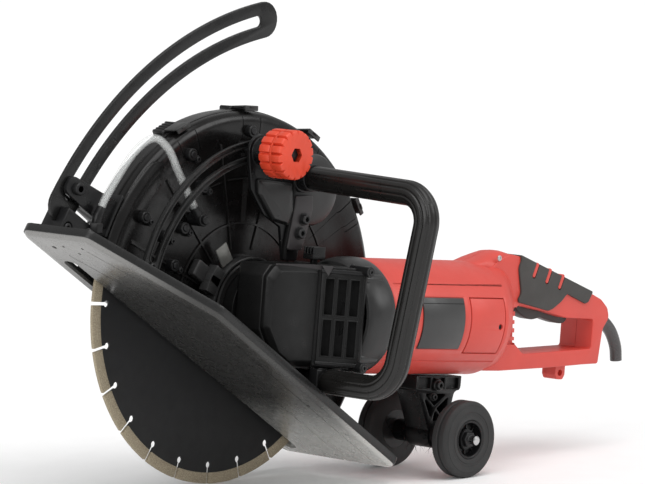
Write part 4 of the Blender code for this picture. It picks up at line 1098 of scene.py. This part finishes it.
def make_motor():
    profile = (
        (98, 53), (269.5, 53), (269.7, 57.4), (268.9, MOTOR_RADIUS), (104, MOTOR_RADIUS), (99.5, 57.6),
        (98.2, 56.9),
    )
    frame_gap = wall_sector(211.2, 264.2, 55.4, 62, -32.8, 24.8)
    plate_bed = wall_sector(138.6, 202.4, 57.2, 62, -28.4, 24.4)
    seam = joined(*(wall_sector(104, 268, 57.2, 62, z - 0.45, z + 0.45, 4) for z in (36.5, -41.0)))
    piece(
        "housing", turned("X", MOTOR, profile, 160), RED, "machine",
        replaces=("motor_housing",), cut=(frame_gap, plate_bed, seam), bevel=0.35,
    )
    screw_place = (257, -4.5)
    piece(
        "cover", wall_sector(212.4, 263.0, 55.8, 58.3, -31.5, 23.5), RED, "machine",
        replaces=("brush_cover",), cut=(rod("Y", screw_place, -152, -140, 2.9, 24),), bevel=0.5, segments=3,
    )
    screw = socket_screw("Y", screw_place, -145.5, -1, 2.4, 1.2)
    piece("cover_screw", screw, DARK_STEEL, "machine")
    piece(
        "plate_label", wall_sector(139.6, 201.4, 57.5, 58.9, -27.4, 23.4), LABEL, "machine",
        replaces=("name_plate",), bevel=0.25,
    )
    line = wall_sector(140.4, 200.6, 58.7, 59.1, 17.6, 18.1, 2)
    piece("plate_label_line", line, DARK, "machine")


# ---------------------------------------------------------------- rear handle

HANDLE_OUTLINE = (
    (276, -52.6), (276, 50), (284, 57), (296, 64), (306, 67.5), (320, 65.5), (439, 29), (456, 23),
    (467, 14.5), (471, 4), (462, -8), (458, -44.5), (434, -45.5), (380, -49), (302, -52.6),
)
HANDLE_ROUNDS = (2, 3, 5, 8, 12, 30, 40, 10, 8, 8, 10, 3, 20, 40, 20)
FINGER_OPENING = ((319, 16), (370, 9), (401, 3), (445, 2), (445, -29), (337, -35), (322, -24))
VENT_HEIGHTS = (-23.3, -15.2, -6.4, 1.9, 10.8)
HANDLE_LUG = ((400, -45), (400, -57), (403, -62), (412, -62), (415, -57), (415, -44))
SLEEVE_CORNERS = (
    (453, -90, 5), (468, -90, 4.5), (482, -90, 0.5), (494, -90, -6.5), (503, -90, -15), (511, -90, -28.5),
    (514, -90, -43),
)


def bell():
    """The flare from the round motor housing down to the handle's flat sides."""
    stations = ((270.3, 56.4, 56.4, 0), (276, 54.5, 56.4, 1), (284, 50, 57, 2), (293, 42, 57.2, 2.6),
                (302, 33, 57, 3), (311, 26, 56, 3.6), (320, 21.5, 53, 4))
    turns = [math.tau * i / 72 for i in range(72)]
    return lofted([
        [Vector((along, MOTOR_Y + half_y * math.cos(a), lift + half_z * math.sin(a))) for a in turns]
        for along, half_y, half_z, lift in stations
    ])


def hump():
    """The smooth fairing that rises over the end of the motor and runs back into the handle's top."""
    stations = ((240, 54.0, 12), (250, 56.4, 16), (261, 59.4, 18.5), (272, 63.0, 20.5), (283, 66.8, 21.6),
                (294, 69.4, 22.2), (304, 69.9, 22.0), (314, 68.0, 21.8), (322, 65.6, 21.4))
    squareness = 0.62
    sections = []
    for along, top, half in stations:
        foot = 51 if along < 275 else 40
        section = []
        for a in (math.pi * i / 24 for i in range(25)):
            out = math.copysign(abs(math.cos(a)) ** squareness, math.cos(a))
            up = math.sin(a) ** squareness
            section.append(Vector((along, MOTOR_Y + out * half, foot + (top - foot) * up)))
        sections.append(section)
    return lofted(sections)


SHARP_EDGE = 1.2


def soft_slab(low, high, outline, offset, segments, *holes):
    """An outline extruded across the saw, with its sharp edges bevelled."""
    body = prism("Y", low, high, outline, *holes)
    bmesh.ops.dissolve_limit(body, angle_limit=0.01, verts=body.verts[:], edges=body.edges[:])
    rims = [e for e in body.edges if len(e.link_faces) == 2 and e.calc_face_angle() > SHARP_EDGE]
    bmesh.ops.bevel(
        body, geom=rims, offset=offset, segments=segments, profile=0.5, affect="EDGES", clamp_overlap=True,
    )
    return body


def make_rear_handle():
    outline = rounded(HANDLE_OUTLINE, HANDLE_ROUNDS, 6)
    opening = rounded(FINGER_OPENING, [7, 20, 10, 3, 3, 9, 6], 6)
    lug = rounded(HANDLE_LUG, [0.5, 2, 3.5, 3.5, 2, 0.5], 5)
    route = smooth_route(SLEEVE_CORNERS, 4)
    for side, low, high in (("near", MOTOR_Y - 0.2, 0), ("far", -200, MOTOR_Y + 0.2)):
        vents = [
            box((303.5, y - 12, z - 2.2), (322.5, y + 12, z + 2.2)) for y in (-121, -59) for z in VENT_HEIGHTS
        ]
        body = soft_slab(HANDLE_NEAR, HANDLE_FAR, outline, 4.6, 5, opening)
        piece(
            f"handle_{side}", body, RED, "machine", replaces=(f"rear_handle_{side}",),
            add=(bell(), prism("Y", -104, -86, lug), hump()),
            cut=(
                box((333.5, MOTOR_Y - 8, -12.2), (421.5, MOTOR_Y + 8, 22.3)), joined(*vents),
                swept(route, steady(8.1), 32), rod("Y", (308, 36), -80, -40, 5.6, 32),
                rod("Y", (407.5, -55), -105.5, -100, 3.4, 28),
                box((220, low, -90), (520, high, 90)),
            ),
            sharp=34,
        )
    far_places = ((300, 58), (452, 12), (450, -37))
    far_screws = [socket_screw("Y", at, HANDLE_FAR + 0.1, 1, 2.6, 0.9) for at in far_places]
    near_screw = socket_screw("Y", (288, 63), HANDLE_NEAR - 0.1, -1, 3.0, 1.0)
    piece("handle_screws", joined(near_screw, *far_screws), STEEL, "machine")
    sleeve = swept(denser(route, 1.5), lambda share, turn: 7.4 - 1.1 * share, 40, bore=3.6)
    piece("sleeve", sleeve, SLEEVE, "machine", replaces=("cable_sleeve",), sharp=50)


def make_grip_pad():
    """The rubber pad over the handle's top, with three slanted grooves that show red inserts."""
    pad = rounded((
        (319, 18.7), (325.4, 27), (318.6, 53), (321.5, 61), (320, 67.3), (439.5, 31), (437, 27), (433, 20),
        (428, 18.3), (398, 28), (389, 19.6), (377, 12.3), (370, 10), (350, 13.4),
    ), [3, 9, 9, 4, 1, 4, 3, 3, 3, 4, 10, 10, 6, 10], 5)
    inside = ((300, 0), (300, 71.6), (320, 65.7), (439, 29.2), (470, 19.7), (470, 0))
    body = soft_slab(HANDLE_NEAR - 2.2, HANDLE_FAR + 2.2, pad, 4.2, 4)
    along = Vector((0.37, 0.929))
    across = Vector((along.y, -along.x))
    grooves, inserts = [], []
    for k in range(3):
        centre = Vector((344.5 + 21 * k, 51 - 5.6 * k))
        corners = [centre - along * 7 - across * 2.3, centre + along * 9 - across * 2.3,
                   centre + along * 9 + across * 2.3, centre - along * 7 + across * 2.3]
        shape = rounded([tuple(c) for c in corners], 2.0, 5)
        wider = [tuple(centre + (Vector(p) - centre) * 1.18) for p in shape]
        grooves.append(prism("Y", HANDLE_NEAR - 4, HANDLE_FAR + 4, wider))
        inserts.append(prism("Y", HANDLE_NEAR - 2.0, HANDLE_FAR + 2.0, shape))
    piece(
        "pad", body, RUBBER, "machine", replaces=("grip_pad",),
        cut=(prism("Y", HANDLE_NEAR - 0.05, HANDLE_FAR + 0.05, inside), joined(*grooves)), sharp=40,
    )
    piece("pad_inserts", joined(*inserts), RED, "machine", bevel=0.7, segments=3)


def make_trigger():
    outline = softened((
        (337, 24), (335, 14), (341, 7), (352, 1.5), (363, -0.8), (370, 0.2), (377, 2), (386, 0), (400, -3),
        (410, -4.5), (417, -3), (420, 2), (417, 10), (400, 13), (352, 19.5), (342, 22),
    ), 2, 0.2)
    body = soft_slab(MOTOR_Y - 7.5, MOTOR_Y + 7.5, outline, 2.4, 4)
    piece("trigger_lever", body, TRIGGER, "trigger", replaces=("trigger",), sharp=40)


# ---------------------------------------------------------------- front handle, its bracket and the knob

def make_front_handle():
    route = rounded_route(HANDLE_ROUTE, HANDLE_BENDS, 16)
    piece("bar", swept(denser(route, 4), steady(BAR_RADIUS), 48), PAINTED, "machine",
          replaces=("front_handle_bar",))
    covered = [route[0] + Vector((0, -14, -14 * 6 / 173.7)), *route[1:-1], route[-1] + Vector((0, -40, 0))]

    def fluted(share, turn):
        """The rubber's radius: eleven flutes along the bar, which fade out at both ends."""
        ends = smoothstep(0.0, 0.012, share) * smoothstep(1.0, 0.99, share)
        depth = 0.25 + 0.85 * smoothstep(0.14, 0.24, share) * smoothstep(0.985, 0.93, share)
        groove = max(0.0, math.cos(turn * 11)) ** 2.2
        swell = 0.3 * math.sin(math.pi * share)
        return BAR_COVER_RADIUS + (1.7 + swell) * ends - depth * groove * ends

    piece("grip", swept(denser(covered, 2.2), fluted, 132, bore=9.7), GRIP, "machine",
          replaces=("front_handle_grip",), sharp=60)
    rings = joined(
        ring("Y", (39, 134.6), -77, -66, 9.6, 13.6, 64), ring("Y", (39, 134.8), -66, -62.2, 9.6, 15.6, 64),
    )
    piece("bar_collar", rings, BLACK, "machine", bevel=0.9, segments=3)
    clamp = joined(
        box((25, -116, -73.5), (47, -104.5, -51.5)), soft_disc("Z", (36, -110), -78, -50, 6.4, 1.5, 40),
    )
    piece("bar_lower_clamp", clamp, BLACK, "machine", bevel=1.2, segments=3)


def make_bracket():
    """The plate that joins the front handle and the knob, with a dome, a facet and a strap on its face."""
    edge = ((-32, 120), (-12, 96), (13, 84), (20, 51), (40, 51), (50, 98))
    plate = rounded([*arc(KNOB, 17, 60, 190, 8), *edge, *arc((39, 135), 16, -20, 80, 6)], 2.5, 3)
    collar_profile = (
        (-80, KNOB_BORE), (-58.5, KNOB_BORE), (-58.5, 14), (-62, 13.4), (-79, 11.6), (-80, 10.8),
    )
    collar = turned("Y", KNOB, collar_profile, 64)
    piece("bracket", prism("Y", -62, -58, plate), BLACK, "machine",
          replaces=("handle_bracket",), add=(collar,), cut=(rod("Y", KNOB, -90, -50, KNOB_BORE, 24),),
          bevel=0.8, segments=3)
    dome_profile = ((-54.6, 0), (-54.6, 35), (-56, 36), (-58.6, 34.5), (-60.4, 29), (-61, 20), (-61, 0))
    dome = turned("Y", (60, 122), dome_profile, 96)
    piece("bracket_dome", dome, COLLAR, "machine",
          cut=(box((-40, -70, 60), (37, -50, 200)),))
    facet = rounded(((-27, 131), (-25, 116), (-2, 90), (21, 86), (27, 100), (22, 128)), 3, 4)
    facets = lofted([
        [placed("Y", -62.2, p) for p in facet],
        [placed("Y", -65.4, p) for p in facet],
        [placed("Y", -67.2, Vector((0, 110)) + (Vector(p) - Vector((0, 110))) * 0.86) for p in facet],
    ])
    piece("bracket_facet", facets, CAP, "machine", bevel=0.6, segments=2)
    strap_corners = ((28.5, 116), (27, 103), (20.6, 62), (40.4, 62), (43, 66), (53.4, 103), (52, 117))
    strap = prism("Y", -66.8, -62.3, rounded(strap_corners, 2.4, 4))
    piece("bracket_strap", strap, STRAP, "machine", bevel=1.0, segments=3)
    seam = rounded((
        (24.6, 132), (24.6, 104), (17.8, 62), (17.8, 52), (21.6, 52), (21.6, 62), (28.4, 104), (28.4, 132),
    ), 1.0, 2)
    piece("bracket_seam", prism("Y", -65.2, -62.1, seam), DARK, "machine", bevel=0.3)
    places = ((40.5, 93), (35.5, 79))
    screws = [socket_screw("Y", at, -66.6, -1, 5.2, 5.6) for at in places]
    washers = [soft_disc("Y", at, -67.6, -66.4, 6.6, 0.4, 36) for at in places]
    piece("bracket_screws", joined(*screws, *washers), DARK_STEEL, "machine")


def knob_lobes():
    """The outline of the knob: round lobes with narrow flutes between them."""
    steps = 12
    points = []
    for k in range(KNOB_LOBES * steps):
        phase = (k % steps) / steps
        flute = 1 - smoothstep(0.0, 0.16, phase) * smoothstep(1.0, 0.84, phase)
        turn = math.tau * k / (KNOB_LOBES * steps)
        points.append(around(KNOB, KNOB_RADIUS - KNOB_FLUTE_DEPTH * flute, turn))
    return points


def knob_tier(low, high, tip):
    """One of the knob's two rows of lobes, with rounded ends. tip is the near end's share of the width."""
    middle = Vector(KNOB)
    ends = ((high, 0.985), (high - 0.7, 1.0), (low + 1.8, 1.0), (low + 0.5, 0.97), (low, tip))
    return lofted([
        [placed("Y", y, middle + (Vector(p) - middle) * share) for p in knob_lobes()] for y, share in ends
    ])


def make_knob():
    core = turned("Y", KNOB, ((-109.5, 0), (-109.5, 20.2), (-81, 22.4), (-80.3, 21.8), (-80.3, 0)), 128)
    rib = ring("Y", KNOB, -97.6, -95.6, 10, 23.8, 128)
    socket = (rod("Y", KNOB, -115, -101, 7.6, 6), rod("Y", KNOB, -115, -70, KNOB_BORE, 32))
    piece(
        "knob_core", core, KNOB_RED, "knob", replaces=("clamp_knob",), add=(rib,), cut=socket,
        sharp=40,
    )
    piece("knob_front_lobes", knob_tier(-110, -98, 0.93), KNOB_RED, "knob",
          cut=(rod("Y", KNOB, -115, -101, 7.6, 6), rod("Y", KNOB, -120, -70, 6.5, 32)), sharp=40)
    piece("knob_rear_lobes", knob_tier(-95.2, -81.2, 0.985), KNOB_RED, "knob",
          cut=(rod("Y", KNOB, -115, -70, 8, 32),), sharp=40)
    screw = joined(
        rod("Y", KNOB, -102, -42.5, 3.5, 32), hex_nut("Y", KNOB, -105.6, -101.3, 6.6),
        hex_nut("Y", KNOB, -49.6, -44.6, 6.6), soft_disc("Y", KNOB, -57.7, -54.7, 8.5, 0.5, 40),
    )
    piece("knob_bolt", screw, DARK_STEEL, "knob", replaces=("knob_screw",), bevel=0.2)


# ---------------------------------------------------------------- wheels and their support

def make_support():
    """The ribbed foot under the motor that carries the wheels' axle."""
    left, top, right = 184, -58.6, 252
    foot = arc(AXLE, 14, 160, 380, 24)
    outline = rounded(
        [(left, top), (left, -73), (188, -74), (206, -112), *foot, (243, -74), (right, -73), (right, top)],
        [0, 4, 2, 6, *[0] * len(foot), 6, 4, 0], 4,
    )
    pockets = []
    hub = Vector((214, -92))
    corners = [Vector(c) for c in ((193, -75.5), (237, -75.5), (231, -106), (211, -106))]
    for one, two in zip(corners, corners[1:] + corners[:1]):
        centre = (hub + one + two) / 3
        triangle = rounded([tuple(centre + (p - centre) * 0.76) for p in (hub, one, two)], 1.2, 3)
        pockets.append(prism("Y", -110, MOTOR_Y - 2, triangle))
        pockets.append(prism("Y", MOTOR_Y + 2, -60, triangle))
    for k in range(3):
        pockets.append(box((188 + 21 * k, -107, -71.5), (206 + 21 * k, -101, -60.5)))
    saddle = rod("X", MOTOR, left - 5, right + 5, MOTOR_RADIUS + 0.4, 96)
    tube_profile = ((-127, AXLE_BORE), (-53, AXLE_BORE), (-53, 10.4), (-53.6, 11), (-126.4, 11), (-127, 10.4))
    piece(
        "support", prism("Y", -105, -75, outline), BLACK, "machine",
        replaces=("support_bracket",), add=(turned("Y", AXLE, tube_profile, 64),),
        cut=(joined(*pockets), saddle, rod("Y", AXLE, -130, -50, AXLE_BORE, 48)), bevel=0.6,
    )
    screw = joined(
        boss("Y", (215, -68), -100, -108, 6.6), socket_screw("Y", (215, -68), -107, -1, 4.6, 4.4),
        boss("Y", (211, -80), -99, -106, 4.6), socket_screw("Y", (211, -80), -105.4, -1, 3.4, 3.0),
    )
    piece("support_screw", screw, DARK_STEEL, "machine")


def wheel_profiles():
    """The hub's and the tyre's half sections, as (along, radius) from the wheel's middle outwards."""
    half, seat, r = WHEEL_WIDTH / 2, WHEEL_HUB_RADIUS + 0.3, WHEEL_RADIUS
    hub = (
        (-half, AXLE_BORE), (half - 8, AXLE_BORE), (half - 8, 8.6), (half - 5.5, 9.4), (half - 5.5, 10.4),
        (half - 8.5, 11), (half - 8.5, 15), (half - 6, 16.4), (half - 1, 17.2), (half - 0.4, 18),
        (half - 0.6, 19.2), (half - 1, WHEEL_HUB_RADIUS), (-half, WHEEL_HUB_RADIUS),
    )
    tyre = (
        (-half, seat), (half - 0.8, seat), (half, 20.8), (half, 24), (half - 0.5, 24.5), (half - 0.5, 27.6),
        (half, 28.1), (half, 33.4), (half - 0.5, 33.9), (half - 0.5, 34.8), (half - 0.7, r - 2.6),
        (half - 1.7, r - 0.9), (half - 3.2, r), (2.2, r), (1.3, r - 0.6), (0.9, r - 1.9), (-0.9, r - 1.9),
        (-1.3, r - 0.6), (-2.2, r), (3.2 - half, r), (1.7 - half, r - 0.9), (0.7 - half, r - 2.6),
        (-half, 33),
    )
    return hub, tyre


def make_wheels():
    axle = (
        (-160, 0), (-160, 3.4), (-159, 4.6), (-151, 4.6), (-151, 6), (-29, 6), (-29, 4.6), (-21, 4.6),
        (-20, 3.4), (-20, 0),
    )
    piece("axle", turned("Y", AXLE, axle, 64), STEEL, "machine", replaces=("wheel_axle",))
    hub, tyre = wheel_profiles()
    half = WHEEL_WIDTH / 2
    for side, middle in WHEEL_CENTRES.items():
        out = -1 if side == "near" else 1
        piece(f"hub_{side}", turned("Y", AXLE, [(middle + out * a, r) for a, r in hub], 96), BLACK,
              f"wheel_{side}", replaces=(f"wheel_hub_{side}",), sharp=32)
        piece(f"wheel_{side}_tyre", turned("Y", AXLE, [(middle + out * a, r) for a, r in tyre], 144), TYRE,
              f"wheel_{side}", replaces=(f"tyre_{side}",), sharp=28)
        low, high = sorted((middle + out * (half - 9), middle + out * (half - 6.6)))
        ribs = joined(*(radial_bar(45 * k, 9.5, 16, low, high, 0.7) for k in range(8)))
        moved(ribs, Matrix.Translation((AXLE[0], 0, AXLE[1])))
        piece(f"hub_ribs_{side}", ribs, BLACK, f"wheel_{side}", bevel=0.25)
        face = middle + out * (half - 5.0)
        nut = joined(
            hex_nut("Y", AXLE, *sorted((face, face + out * 5.2)), 8.4),
            soft_disc("Y", AXLE, *sorted((face - out * 0.6, face + out * 0.7)), 9.8, 0.3, 40),
        )
        piece(f"axle_nut_{side}", nut, DARK_STEEL, "machine", bevel=0.25)


# ---------------------------------------------------------------- what the CAD already shapes well

CAD_FINISHES = {
    "spindle": GEAR, "crown_gear": GEAR, "spindle_bearing_front": STEEL, "spindle_bearing_rear": STEEL,
    "stator": LAMINATED, "bearing_plate": DARK_STEEL, "armature_bearing_front": STEEL,
    "armature_bearing_rear": STEEL, "carbon_brush_near": CARBON, "carbon_brush_far": CARBON,
    "armature_shaft": GEAR, "armature_core": LAMINATED, "commutator": COPPER, "fan": BLACK, "pinion": GEAR,
    "switch_module": BLACK, "lock_off_button": BLACK,
}


def finish_cad_nodes():
    for name, finish in CAD_FINISHES.items():
        mesh = frame["nodes"][name].data
        mesh.materials.clear()
        mesh.materials.append(finish)


# ---------------------------------------------------------------- floor, light and camera

def make_stage():
    bm = bmesh.new()
    bmesh.ops.create_grid(bm, x_segments=1, y_segments=1, size=40)
    floor = mesh_object("floor", bm)
    floor.data.materials.append(
        surface("pale_floor", (0.93, 0.93, 0.93), 0.7, specular=0.2, grain=0.05, grain_size=3, mottle=0.01)
    )
    world = bpy.data.worlds.new("studio")
    bpy.context.scene.world = world
    world.use_nodes = True
    background = world.node_tree.nodes["Background"]
    background.inputs["Color"].default_value = (1, 1, 1, 1)
    background.inputs["Strength"].default_value = 0.5
    bpy.context.scene.view_settings.view_transform = "Standard"

    def sun(name, strength, spread, azimuth, elevation):
        light = bpy.data.lights.new(name, "SUN")
        light.energy = strength
        light.angle = math.radians(spread)
        obj = bpy.data.objects.new(name, light)
        a, e = math.radians(azimuth), math.radians(elevation)
        towards = Vector((math.sin(a) * math.cos(e), -math.cos(a) * math.cos(e), math.sin(e)))
        obj.rotation_mode = "QUATERNION"
        obj.rotation_quaternion = towards.to_track_quat("Z", "Y")
        bpy.context.collection.objects.link(obj)

    sun("overhead_softbox", 1.5, 50, -20, 72)
    sun("front_softbox", 0.9, 40, -75, 25)
    sun("right_softbox", 0.7, 30, 40, 30)


CAMERA_PLACE = Vector((-3568.99, -3451.61, 283.6))
CAMERA_RIGHT = Vector((0.6814, -0.7278, 0.0775))
CAMERA_UP = Vector((-0.0216, 0.0858, 0.9961))
SENSOR_WIDTH = 36.0
FOCAL_LENGTH = 7.75194 * SENSOR_WIDTH


def make_camera():
    data = bpy.data.cameras.new("camera")
    data.sensor_width = SENSOR_WIDTH
    data.lens = FOCAL_LENGTH
    data.clip_start, data.clip_end = 0.1, 200
    camera = bpy.data.objects.new("camera", data)
    back = CAMERA_RIGHT.cross(CAMERA_UP).normalized()
    up = back.cross(CAMERA_RIGHT).normalized()
    turn = Matrix((CAMERA_RIGHT.normalized(), up, back)).transposed()
    place = Matrix.Rotation(STANCE_TILT, 3, "Y") @ turn
    camera.matrix_world = Matrix.Translation(SAW @ CAMERA_PLACE) @ place.to_4x4()
    bpy.context.collection.objects.link(camera)
    bpy.context.scene.camera = camera


for make in (
    make_stage, make_camera, make_blade, make_hood, make_hood_screws, make_nose_clamp, make_clips, make_rail,
    make_front_bracket, make_hose, make_pivots, make_plate, make_arc, make_gear_case, make_case_cap,
    make_grille, make_collar, make_lock_button, make_motor, make_rear_handle, make_grip_pad, make_trigger,
    make_front_handle, make_bracket, make_knob, make_support, make_wheels, finish_cad_nodes,
):
    make()

bpy.context.view_layer.update()
